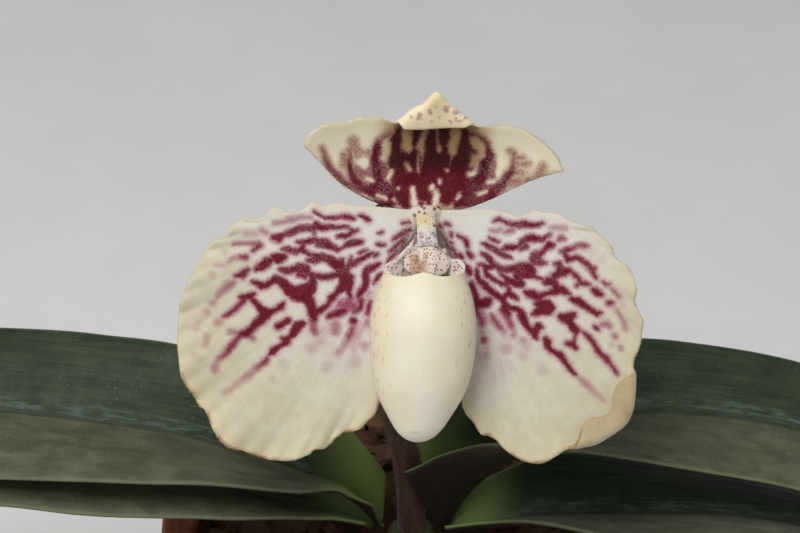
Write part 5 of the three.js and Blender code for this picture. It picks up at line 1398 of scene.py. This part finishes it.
def leaf_sheet(name, keel, half_width, fold, roll, lean, seed):
    """A leaf as a closed sheet: a channel along its keel, with a waved margin and fine ribs."""
    curve = Curve(keel)
    v = np.linspace(0, 1, LEAF_ROWS + 1)
    v = v - ROW_CROWDING * v * (1 - v) * (2 * v - 1)
    offset = np.linspace(-1, 1, LEAF_COLUMNS + 1)
    every = np.ones_like(offset)
    centre, tangent = curve.at(v), curve.tangent(v)
    side = unit(np.cross(tangent, [0.0, 0.0, 1.0]))
    v = v[:, None]
    base_share = 1 - smooth(v, 0.02, 0.3)
    base = unit(np.array([lean, 0, 1]))
    rise = unit(base * base_share + np.cross(side, tangent) * (1 - base_share))
    turned = np.radians(along(roll, v))
    across = side * np.cos(turned) + rise * np.sin(turned)
    upward = rise * np.cos(turned) - side * np.sin(turned)
    wide, steep = along(half_width, v), np.radians(along(fold, v))
    sideways, travelled, rim = offset * wide, v * curve.length * every, (1 - np.abs(offset)) * wide
    rounded = np.sqrt(offset ** 2 + KEEL_ROUNDING) - math.sqrt(KEEL_ROUNDING)
    arch = 0.06 * wide * np.sin(np.pi * np.abs(offset))
    wave = 0.28 * value_noise(travelled / 9, offset + 5, seed) * np.abs(offset) ** 3 * smooth(v, 0.1, 0.3)
    ribs = 0.035 * np.cos(sideways * 2.9) * smooth(v, 0.05, 0.2)
    out = sideways * np.cos(steep)
    lift = rounded * wide * np.sin(steep) + arch * np.cos(steep) + wave + ribs
    middle = centre[:, None] + across[:, None] * out[..., None] + upward[:, None] * lift[..., None]
    thinned = np.sqrt(1 - (1 - np.clip(rim / LEAF_RIM_REACH, 0, 1)) ** 2)
    return closed_sheet(name, middle, LEAF_RIM_HALF + (LEAF_THICKNESS / 2 - LEAF_RIM_HALF) * thinned, {
        "flat": np.stack([sideways + 60 * seed, travelled, 0 * travelled], -1), "rim": rim,
        # The gloss number marks a strip beside the midrib where a highlight is painted.
        "along": v * every, "keel": ridge(sideways, 0, 0.55), "gloss": ridge(np.abs(sideways), 1.8, 1.3),
        # Which half faces the viewer: the skin paints a sheen on that half and shade on the other.
        "near": smooth(-sideways * np.sign(side[:, 1:2]), -0.6, 0.6),
    })


SHADED_HALF_DARK, SHADED_HALF_GREEN = (0.013, 0.024, 0.010), (0.028, 0.043, 0.019)
SHEENED_HALF_DARK, SHEENED_HALF_GREEN = (0.062, 0.072, 0.036), (0.114, 0.120, 0.067)
TILE_GREEN, VEIN_GREEN = (0.060, 0.078, 0.040), (0.085, 0.105, 0.055)
GLOSS_HIGHLIGHT, KEEL_DARK = (0.16, 0.22, 0.20), (0.012, 0.020, 0.010)
LEAF_RIM, LEAF_FOOT_GREEN_AND_HIGHLIGHT = (0.19, 0.21, 0.11), (0.30, 0.43, 0.12)
UNDER_DARK, UNDER_GREEN, UNDER_KEEL = (0.060, 0.080, 0.036), (0.090, 0.110, 0.052), (0.11, 0.13, 0.055)
PLUM, PLUM_FOOT, DUST_AND_SHEEN = (0.060, 0.020, 0.030), (0.026, 0.012, 0.012), (0.46, 0.45, 0.38)


def leaf_upper_side(f, mottle, veins):
    """Dark green with a paler tiling. The half that faces away is painted in shade, and the half that faces
    the viewer is painted lighter and greyer as a painted sheen. A painted highlight runs beside the midrib,
    and the foot is fresh green brightened as a painted highlight.
    """
    flat, near, start = f.place(), f.number("near"), f.number("along")
    # Lit and shaded copies of the leaf's green: painted shade on the half that faces away, and a painted
    # sheen on the half that faces the viewer.
    shaded_half = f.mix(f.ramp(mottle, 0.36, 0.66), SHADED_HALF_DARK, SHADED_HALF_GREEN)
    sheened_half = f.mix(f.ramp(mottle, 0.36, 0.66), SHEENED_HALF_DARK, SHEENED_HALF_GREEN)
    dark = f.mix(near, shaded_half, sheened_half)
    dark = f.over(dark, TILE_GREEN, f.cell_value(f.scaled(flat, 0.62, 0.19, 1), 1.0), 0.15)
    dark = f.over(dark, VEIN_GREEN, f.ramp(veins, 0.42, 0.62, 0.0, 0.18))
    patches = f.ramp(f.noise(f.scaled(flat, 0.9, 0.16, 1), 1.2, 4, 0.7), 0.42, 0.66)
    # A painted highlight along the midrib, on the half that faces away.
    dark = f.over(dark, GLOSS_HIGHLIGHT, f.number("gloss"), f.rest(near), patches, 0.42)
    dark = f.over(dark, KEEL_DARK, f.number("keel"), 0.5)
    dark = f.over(dark, LEAF_RIM, f.ramp(f.number("rim"), 0.0, 0.6, 0.7, 0.0))
    # The foot is fresh green, brightened further as a painted highlight.
    return f.over(dark, LEAF_FOOT_GREEN_AND_HIGHLIGHT, f.ramp(start, 0.03, 0.14, 0.85, 0.0))


def leaf_under_side(f, mottle):
    """Paler green, with plum dots and a dark plum foot."""
    flat, start = f.place(), f.number("along")
    under = f.mix(f.ramp(mottle, 0.3, 0.7), UNDER_DARK, UNDER_GREEN)
    reach = f.ramp(f.plus(start, f.times(mottle, 0.2)), 0.12, 0.4, 0.8, 0.0)
    under = f.over(under, PLUM, f.dots(flat, 1.3, 0.42), reach)
    under = f.over(under, PLUM_FOOT, f.ramp(start, 0.08, 0.28, 0.92, 0.0))
    return f.over(under, UNDER_KEEL, f.number("keel"), 0.6)


def leaf_finish():
    """Leaf skin, with a little dust on both sides. The fine dust is heavier on the half that faces the
    viewer, where it also greys that half as part of a painted sheen.
    """
    f = Finish("leaf_skin")
    flat = f.place()
    long_way = f.scaled(flat, 0.9, 0.16, 1)
    mottle = f.noise(f.scaled(flat, 0.30, 0.13, 1), 1.0, 3, 0.6, 0.4)
    veins = f.noise(f.scaled(flat, 2.2, 0.03, 1), 1.0, 2)
    colour = f.mix(f.number("back"), leaf_upper_side(f, mottle, veins), leaf_under_side(f, mottle))
    dust = f.times(f.dots(flat, 1.5, 0.14), f.ramp(f.noise(flat, 0.14), 0.50, 0.66), 0.42)
    # Fine dust, four times heavier on the half that faces the viewer, where it adds to the painted sheen.
    fine_dust_and_sheen = f.times(f.ramp(f.noise(flat, 4.5, 2), 0.54, 0.70), f.ramp(f.number("near"), 0, 1, 0.05, 0.2))
    fine_dust_and_sheen = f.times(fine_dust_and_sheen, f.ramp(f.noise(flat, 0.2, 2), 0.35, 0.6, 0.3, 1.0))
    colour = f.over(colour, DUST_AND_SHEEN, f.plus(dust, fine_dust_and_sheen))
    height = f.plus(f.times(f.noise(long_way, 1.6, 4, 0.6), 0.7), f.times(veins, 0.35))
    height = f.plus(height, f.times(f.noise(flat, 5.0, 3, 0.7), 0.3))
    rough = f.ramp(f.noise(flat, 0.5, 4, 0.7), 0.3, 0.7, 0.46, 0.62)
    return f.finish(Base_Color=colour, Roughness=rough, Normal=f.bump(height, 0.00020, 0.6),
                    Specular_IOR_Level=0.24, Sheen_Weight=0.02)


def add_leaves():
    material = leaf_finish()
    for seed, (name, leaf) in enumerate(LEAVES.items(), 1):
        paint(leaf_sheet(f"{name}_skin", **leaf, seed=seed), material, name)


# ---------------------------------------------------------------- stalk, ovary and bract

SCAPE = Curve([(0, 0.2, CROWN_TOP + 0.45),
               *soil_path((0, 0.3, 7), (-0.3, 0.8, 14), (-1.5, 1.8, 22), (-3.2, 3, 29), (-4.8, 5.4, 40),
                          (-4.9, 8, 49), (-4.7, 9.3, 53.4))])
OVARY = Curve([*soil_path((-4.65, 9.5, 53.9), (-3.8, 11.2, 59.5), (-1.8, 11.3, 64.4), (0.6, 8.9, 67.6)),
               *flower_to_world([(0, 0, -8), (0, 0, -2.75)])])


def stalk_finish(name, ground, shade, dash):
    """Streaked along the stalk, with short dark dashes and a velvety sheen."""
    f = Finish(name)
    place = f.place_in_mm()
    upright = f.scaled(place, 1.0, 1.0, 0.22)
    colour = f.mix(f.ramp(f.noise(upright, 0.9, 4, 0.6), 0.35, 0.65), ground, shade)
    dashes = f.ramp(f.cells(f.scaled(place, 1.0, 1.0, 0.35), 2.1), 0.12, 0.3, 0.85, 0.0)
    colour = f.over(colour, dash, dashes, f.ramp(f.noise(place, 0.6, 2), 0.4, 0.6))
    height = f.plus(f.noise(upright, 1.6, 4, 0.65), f.times(f.noise(place, 6.0, 2), 0.4))
    return f.finish(Base_Color=colour, Roughness=f.ramp(f.noise(place, 2.0, 2), 0.3, 0.7, 0.55, 0.8),
                    Normal=f.bump(height, 0.0003, 0.7), Sheen_Weight=0.35, Sheen_Roughness=0.4)


def hair_roots(curve, radius, count, seed, start, end):
    """Places on a stem's skin between two shares of its length, and the way out from it there."""
    draw = np.random.default_rng(seed)
    t = draw.uniform(start, end, count)
    angle = draw.uniform(0, 2 * np.pi, count)[:, None]
    side, other = round_stem(curve.tangent(t))
    way = np.cos(angle) * side + np.sin(angle) * other
    return curve.at(t) + way * radius(t)[:, None], way


def scape_radius(t):
    return SCAPE_RADIUS * (1 + 0.15 * (1 - t))


def ovary_radius(t):
    return OVARY_RADIUS - 0.8 * (1 - smooth(t, 0, 0.35)) + 0.2 * smooth(t, 0.8, 1)


def ribbed_ovary(t, angle):
    return ovary_radius(t) * (1 + 0.06 * np.cos(6 * angle) * smooth(t, 0.03, 0.2))


def uneven_scape(t, angle):
    return scape_radius(t) * (1 + 0.012 * np.cos(5 * angle + 9 * t))


def add_stalk():
    scape = stem("scape_skin", SCAPE, uneven_scape, 140, 40)
    roots, ways = hair_roots(SCAPE, scape_radius, 2600, 5, 0.05, 0.985)
    join(scape, hairs("scape_hairs", roots, ways + [0, 0, 0.25], 0.75, 0.045, 6))
    purple = stalk_finish("stalk_skin", (0.115, 0.058, 0.032), (0.060, 0.026, 0.022), (0.035, 0.012, 0.014))
    paint(scape, purple, "scape")

    ovary = stem("ovary_skin", OVARY, ribbed_ovary, 110, 72)
    roots, ways = hair_roots(OVARY, lambda t: 0.97 * ovary_radius(t), 1800, 7, 0.08, 0.93)
    join(ovary, hairs("ovary_hairs", roots, ways + [0, 0, 0.2], 0.6, 0.045, 8))
    green = stalk_finish("ovary_skin", (0.125, 0.105, 0.040), (0.095, 0.048, 0.034), (0.045, 0.014, 0.020))
    paint(ovary, green, "ovary")


BRACT_SIZE = (8.0, 9.0)                # about how wide and how long the bract is


def add_bract():
    """A small sheath behind the ovary's foot, that stands off from it towards its tip."""
    u, v = np.meshgrid(np.linspace(0, 1, 61), np.linspace(0, 1, 51))
    share = 0.01 + 0.42 * v
    at = OVARY.at(share)
    angle = np.radians(90 + (u - 0.5) * 190 * (1 - 0.8 * v * v))
    reach = 1.06 * ovary_radius(share) + 0.95 + 1.4 * v * v
    middle = at + np.stack([reach * np.cos(angle), reach * np.sin(angle), 0 * angle], -1)
    wide, long = BRACT_SIZE
    rim = np.minimum(np.minimum(u, 1 - u) * wide, (1 - v) * long)
    flat = np.stack([u * wide, v * long, 0 * u], -1)
    bract = closed_sheet("floral_bract_skin", middle, 0.16 + 0.19 * smooth(rim, 0, 1.2), {"flat": flat})
    sheath = stalk_finish("bract_skin", (0.145, 0.150, 0.055), (0.100, 0.062, 0.034), (0.050, 0.020, 0.022))
    paint(bract, sheath, "floral_bract")


# ---------------------------------------------------------------- crown, bark mix and pot

def lathe(name, profile, segments):
    """A turned body from (radius, height) pairs that start and end on the axis."""
    angle = np.linspace(0, 2 * np.pi, segments, endpoint=False)
    rings = np.array([[(r * math.cos(a), r * math.sin(a), z) for a in angle] for r, z in profile[1:-1]])
    bottom, top = (np.array([0, 0, profile[end][1]], float) for end in (0, -1))
    points, faces = ring_body(bottom, rings, top)
    return mesh_object(name, points, outward(points, faces))


def rounded_profile(corners, radius=0.5, steps=4):
    """The profile with each inner corner rounded off by a short curve."""
    line = [corners[0]]
    for before, corner, after in zip(corners, corners[1:], corners[2:]):
        before, corner, after = (np.array(p, float) for p in (before, corner, after))
        inward, onward = before - corner, after - corner
        cut_back = min(radius, 0.45 * np.linalg.norm(inward), 0.45 * np.linalg.norm(onward))
        start, finish = corner + unit(inward) * cut_back, corner + unit(onward) * cut_back
        for k in range(steps + 1):
            t = k / steps
            line.append(tuple((1 - t) ** 2 * start + 2 * t * (1 - t) * corner + t * t * finish))
    return line + [corners[-1]]


def terracotta_finish():
    """Fired clay, with turning lines, salt bloom and dark grit."""
    f = Finish("terracotta")
    place = f.place_in_mm()
    turning = f.scaled(place, 0.05, 0.05, 2.2)
    clouds = f.ramp(f.noise(place, 0.05, 4, 0.6), 0.35, 0.65)
    colour = f.mix(clouds, (0.46, 0.155, 0.062), (0.37, 0.118, 0.050))
    colour = f.over(colour, (0.55, 0.22, 0.10), f.ramp(f.noise(turning, 1.0, 2), 0.4, 0.7, 0.0, 0.25))
    salt = f.noise(place, 0.09, 5, 0.7, 0.6)
    colour = f.over(colour, (0.62, 0.47, 0.36), f.ramp(salt, 0.52, 0.72, 0.0, 0.55))
    colour = f.over(colour, (0.22, 0.07, 0.035), f.dots(place, 0.8, 0.14), 0.3)
    height = f.plus(f.times(f.noise(turning, 1.0), 0.5), f.times(f.noise(place, 2.4, 4, 0.7), 0.5))
    return f.finish(Base_Color=colour, Roughness=f.ramp(salt, 0.3, 0.7, 0.72, 0.92),
                    Normal=f.bump(height, 0.0004, 0.6), Specular_IOR_Level=0.3)


def add_pot():
    rim, foot, top = POT_RIM_RADIUS, COLLAR_FOOT, POT_HEIGHT
    inner_rim, inner_base = rim - POT_WALL, POT_BASE_RADIUS - POT_WALL
    corners = [
        (0, 0), (POT_BASE_RADIUS - 1, 0), (POT_BASE_RADIUS, 1), (rim - 5.5, foot - 0.5), (rim - 2.6, foot),
        (rim - 1.4, foot + 1.4), (rim, top - 1.6), (rim - 0.8, top - 0.3), (rim - 1.8, top),
        (inner_rim, top - 0.8), (inner_rim - 0.8, top - 4), (inner_rim - 6.2, foot - 8),
        (inner_base, POT_FLOOR + 2), (inner_base - 2, POT_FLOOR), (0, POT_FLOOR),
    ]
    pot = lathe("pot_skin", rounded_profile(corners, 0.9), 180)
    below, above = -2, POT_FLOOR + 2
    hole_profile = [(0, below), (DRAIN_RADIUS + 0.5, below), (DRAIN_RADIUS + 0.5, -0.1), (DRAIN_RADIUS, 0.5),
                    (DRAIN_RADIUS, POT_FLOOR - 0.4), (DRAIN_RADIUS + 0.4, POT_FLOOR + 0.1),
                    (DRAIN_RADIUS + 0.4, above), (0, above)]
    for k in range(DRAIN_HOLES):
        turn = 2 * np.pi * k / DRAIN_HOLES + np.pi / 2
        hole = lathe("hole", hole_profile, 48)
        hole.location = (DRAIN_CIRCLE * math.cos(turn) * MM, DRAIN_CIRCLE * math.sin(turn) * MM, 0)
        combine(pot, hole, "DIFFERENCE")
    paint(pot, terracotta_finish(), "pot")


def bark_chip(draw, size, centre, tilt):
    """An irregular flat chip as points, its own coordinates and faces."""
    body = bmesh.new()
    for _ in range(26):
        p = draw.uniform(-1, 1, 3)
        p = p / max(1e-6, (np.abs(p) ** 4).sum() ** 0.25) * draw.uniform(0.86, 1.0)
        body.verts.new(p * size / 2)
    hull = bmesh.ops.convex_hull(body, input=body.verts)
    loose = {item for key in ("geom_interior", "geom_unused") for item in hull[key]
             if isinstance(item, bmesh.types.BMVert)}
    bmesh.ops.delete(body, geom=list(loose), context="VERTS")
    body.verts.index_update()
    own = np.array([v.co[:] for v in body.verts])
    faces = [tuple(v.index for v in face.verts) for face in body.faces]
    body.free()
    turn = rotation(2, tilt[2]) @ rotation(1, tilt[1]) @ rotation(0, tilt[0])
    return own @ turn.T + centre, own, faces


def chip_heap(name, draw, count, innermost, outermost, sizes, height, steep):
    """Chips strewn over a ring of the mix. sizes and height are ranges, and steep is the largest tilt."""
    points, own, tint, faces, start = [], [], [], [], 0
    for k in range(count):
        distance = innermost + (outermost - innermost) * math.sqrt((k + 0.5) / count)
        turn = k * GOLDEN_ANGLE + draw.uniform(0, 0.6)
        size = np.array([draw.uniform(*s) for s in sizes])
        tilt = (draw.uniform(-steep, steep), draw.uniform(-steep, steep), draw.uniform(0, 2 * np.pi))
        centre = [distance * math.cos(turn), distance * math.sin(turn), SOIL_LEVEL + draw.uniform(*height)]
        placed, local, hull = bark_chip(draw, size, centre, tilt)
        points.append(placed)
        own.append(local + draw.uniform(0, 50, 3))
        tint.append(np.full(len(placed), draw.uniform(0, 1)))
        faces += [tuple(start + i for i in face) for face in hull]
        start += len(placed)
    kept = {"flat": np.vstack(own), "tint": np.concatenate(tint)}
    return mesh_object(name, np.vstack(points), faces, kept, smooth_faces=False)


def root_curves():
    """The roots' lines, which leave the crown all round and bend down."""
    curves = []
    for k in range(ROOTS):
        line = []
        for distance, drop in ROOT_REACH:
            turn = 2 * np.pi * k / ROOTS + 0.4 + 0.02 * distance
            line.append((distance * math.cos(turn), distance * math.sin(turn), SOIL_LEVEL - drop))
        curves.append(Curve(line))
    return curves


def root_radius(t):
    return ROOT_RADIUS * (1 - 0.5 * t)


def bark_finish():
    """Layered brown bark, lighter on some chips than on others."""
    f = Finish("bark")
    flat, tint = f.place(), f.number("tint")
    layered = f.scaled(flat, 0.35, 0.35, 2.4)
    layers = f.ramp(f.noise(layered, 1.0, 4, 0.6), 0.35, 0.65)
    colour = f.mix(layers, (0.115, 0.055, 0.028), (0.060, 0.028, 0.016))
    colour = f.over(colour, (0.24, 0.125, 0.062), tint, 0.55)
    colour = f.over(colour, (0.030, 0.018, 0.012), f.ramp(f.noise(flat, 0.6, 4), 0.55, 0.7, 0.0, 0.5))
    height = f.plus(f.noise(layered, 1.4, 4, 0.7), f.times(f.noise(flat, 2.2, 4, 0.7), 0.7))
    return f.finish(Base_Color=colour, Roughness=f.ramp(tint, 0, 1, 0.95, 0.8),
                    Normal=f.bump(height, 0.0007, 0.9), Specular_IOR_Level=0.25)


def add_medium():
    """The bark mix: a filling with room for the crown and its roots, and chips on top."""
    wall, base = POT_RIM_RADIUS - POT_WALL, POT_BASE_RADIUS - POT_WALL
    bottom, top = POT_FLOOR + 0.3, SOIL_LEVEL - 1
    corners = [
        (0, bottom), (base - 2.4, bottom), (base - 0.5, bottom + 2.2), (wall - 6.7, COLLAR_FOOT - 8),
        (wall - 2.1, top - 1), (wall - 3, top), (0, top),
    ]
    filling = lathe("medium_skin", rounded_profile(corners, 0.6), 96)
    room, low, high = CROWN_RADIUS + ROOM, CROWN_BOTTOM - 2 * ROOM, SOIL_LEVEL + 4
    combine(filling, lathe("hole", [(0, low), (room, low), (room, high), (0, high)], 48), "DIFFERENCE")
    for curve in root_curves():
        hole = stem("hole", curve, lambda t, angle: root_radius(t) + ROOM + 0 * angle, 30, 14)
        combine(filling, hole, "DIFFERENCE")
    shaded(filling, tint=0.15)
    own = read_points(filling.data.vertices, "co") / MM
    filling.data.attributes.new("flat", "FLOAT_VECTOR", "POINT").data.foreach_set("vector", own.ravel())
    draw = np.random.default_rng(21)
    large, small = ((6, 11), (4, 7), (1.8, 3.4)), ((2.4, 5), (1.6, 3.4), (1, 2))
    join(filling, chip_heap("chips_large", draw, 118, 15, wall - 6.6, large, (-0.9, 0.6), 0.32),
         chip_heap("chips_small", draw, 240, 9.5, wall - 4.6, small, (-0.5, 0.5), 0.5))
    paint(filling, bark_finish(), "medium")


def crown_finish():
    """Brown and ringed, and green where it comes out of the mix."""
    f = Finish("crown_skin")
    place = f.place_in_mm()
    rings = f.scaled(place, 0.3, 0.3, 2.0)
    up = f.put("ShaderNodeSeparateXYZ", {"Vector": place}, output="Z")
    colour = f.mix(f.ramp(f.noise(rings, 1.0), 0.35, 0.65), (0.14, 0.080, 0.040), (0.085, 0.045, 0.026))
    colour = f.over(colour, (0.10, 0.115, 0.035), f.ramp(up, SOIL_LEVEL - 3, SOIL_LEVEL + 2))
    height = f.plus(f.noise(rings, 1.2, 4, 0.6), f.times(f.noise(place, 3.0), 0.5))
    return f.finish(Base_Color=colour, Roughness=f.ramp(f.noise(place, 1.0, 2), 0.3, 0.7, 0.6, 0.85),
                    Normal=f.bump(height, 0.0005, 0.8))


def uneven_root(t, angle):
    return root_radius(t) * (1 + 0.04 * np.cos(3 * angle + 20 * t))


def add_crown():
    wide = CROWN_RADIUS
    corners = [
        (0, CROWN_BOTTOM), (wide - 1, CROWN_BOTTOM), (wide, CROWN_BOTTOM + 3), (wide, SOIL_LEVEL - 2),
        (wide - 0.4, SOIL_LEVEL - 1.4), (wide, SOIL_LEVEL - 0.8), (wide, CROWN_TOP - 1),
        (wide - 0.8, CROWN_TOP), (0, CROWN_TOP),
    ]
    crown = lathe("crown_skin", rounded_profile(corners, 0.5), 64)
    join(crown, *[stem(f"root_{k}", curve, uneven_root, 40, 16) for k, curve in enumerate(root_curves())])
    paint(crown, crown_finish(), "crown")


# ---------------------------------------------------------------- floor, lights and camera

def add_floor():
    """A plain pale floor."""
    far = 3000
    corners = [(-far, -far, 0), (far, -far, 0), (far, far, 0), (-far, far, 0)]
    floor = mesh_object("floor", corners, [(0, 1, 2, 3)])
    f = Finish("floor")
    place = f.scaled(f.place_in_mm(), 0.02, 0.02, 0.02)
    colour = f.mix(f.ramp(f.noise(place, 1.0), 0.3, 0.7), (0.80, 0.80, 0.785), (0.83, 0.83, 0.815))
    rough = f.ramp(f.noise(place, 4.0, 2), 0.3, 0.7, 0.7, 0.8)
    bump = f.bump(f.noise(place, 30.0, 2), 0.0002, 0.2)
    floor.data.materials.append(f.finish(Base_Color=colour, Roughness=rough, Normal=bump))


def add_light(name, place, size, power, colour=(1, 1, 1)):
    """A soft square light at a place in the flower's own millimetres, aimed at the flower."""
    lamp = bpy.data.lights.new(name, "AREA")
    lamp.shape = "SQUARE"
    lamp.size = size
    lamp.energy = power
    lamp.color = colour
    piece = bpy.data.objects.new(name, lamp)
    start, end = (Vector(flower_to_world(p) * MM) for p in (place, LIGHT_AIM))
    piece.location = start
    piece.rotation_euler = (end - start).to_track_quat("-Z", "Y").to_euler()
    bpy.context.scene.collection.objects.link(piece)


def add_camera():
    """The camera looks squarely at the flower's plane."""
    lens = bpy.data.cameras.new("camera")
    lens.lens = LENS
    lens.sensor_width = SENSOR_WIDTH
    lens.clip_start = 0.01
    lens.clip_end = 20
    camera = bpy.data.objects.new("camera", lens)
    turn = Matrix.Rotation(math.radians(90) - FLOWER_LIFT, 4, "X")
    camera.matrix_world = Matrix.Translation(flower_to_world((*CAMERA_AIM, CAMERA_DISTANCE)) * MM) @ turn
    bpy.context.scene.collection.objects.link(camera)
    bpy.context.scene.camera = camera


def add_studio():
    add_light("key", (-150, 270, 500), 0.30, 2.7, (1.0, 0.985, 0.96))
    add_light("fill_left", (-600, 190, 300), 0.6, 0.9)
    add_light("fill_right", (600, 190, 320), 0.6, 0.65)
    world = bpy.data.worlds.new("studio")
    world.use_nodes = True
    background = world.node_tree.nodes["Background"]
    background.inputs["Color"].default_value = (0.93, 0.95, 1.0, 1)
    background.inputs["Strength"].default_value = 0.27
    bpy.context.scene.world = world
    bpy.context.scene.view_settings.view_transform = "Standard"


add_studio()
add_camera()
add_floor()
add_blades()
add_pouch()
add_column()
add_staminode()
add_anthers()
add_leaves()
add_stalk()
add_bract()
add_medium()
add_crown()
add_pot()
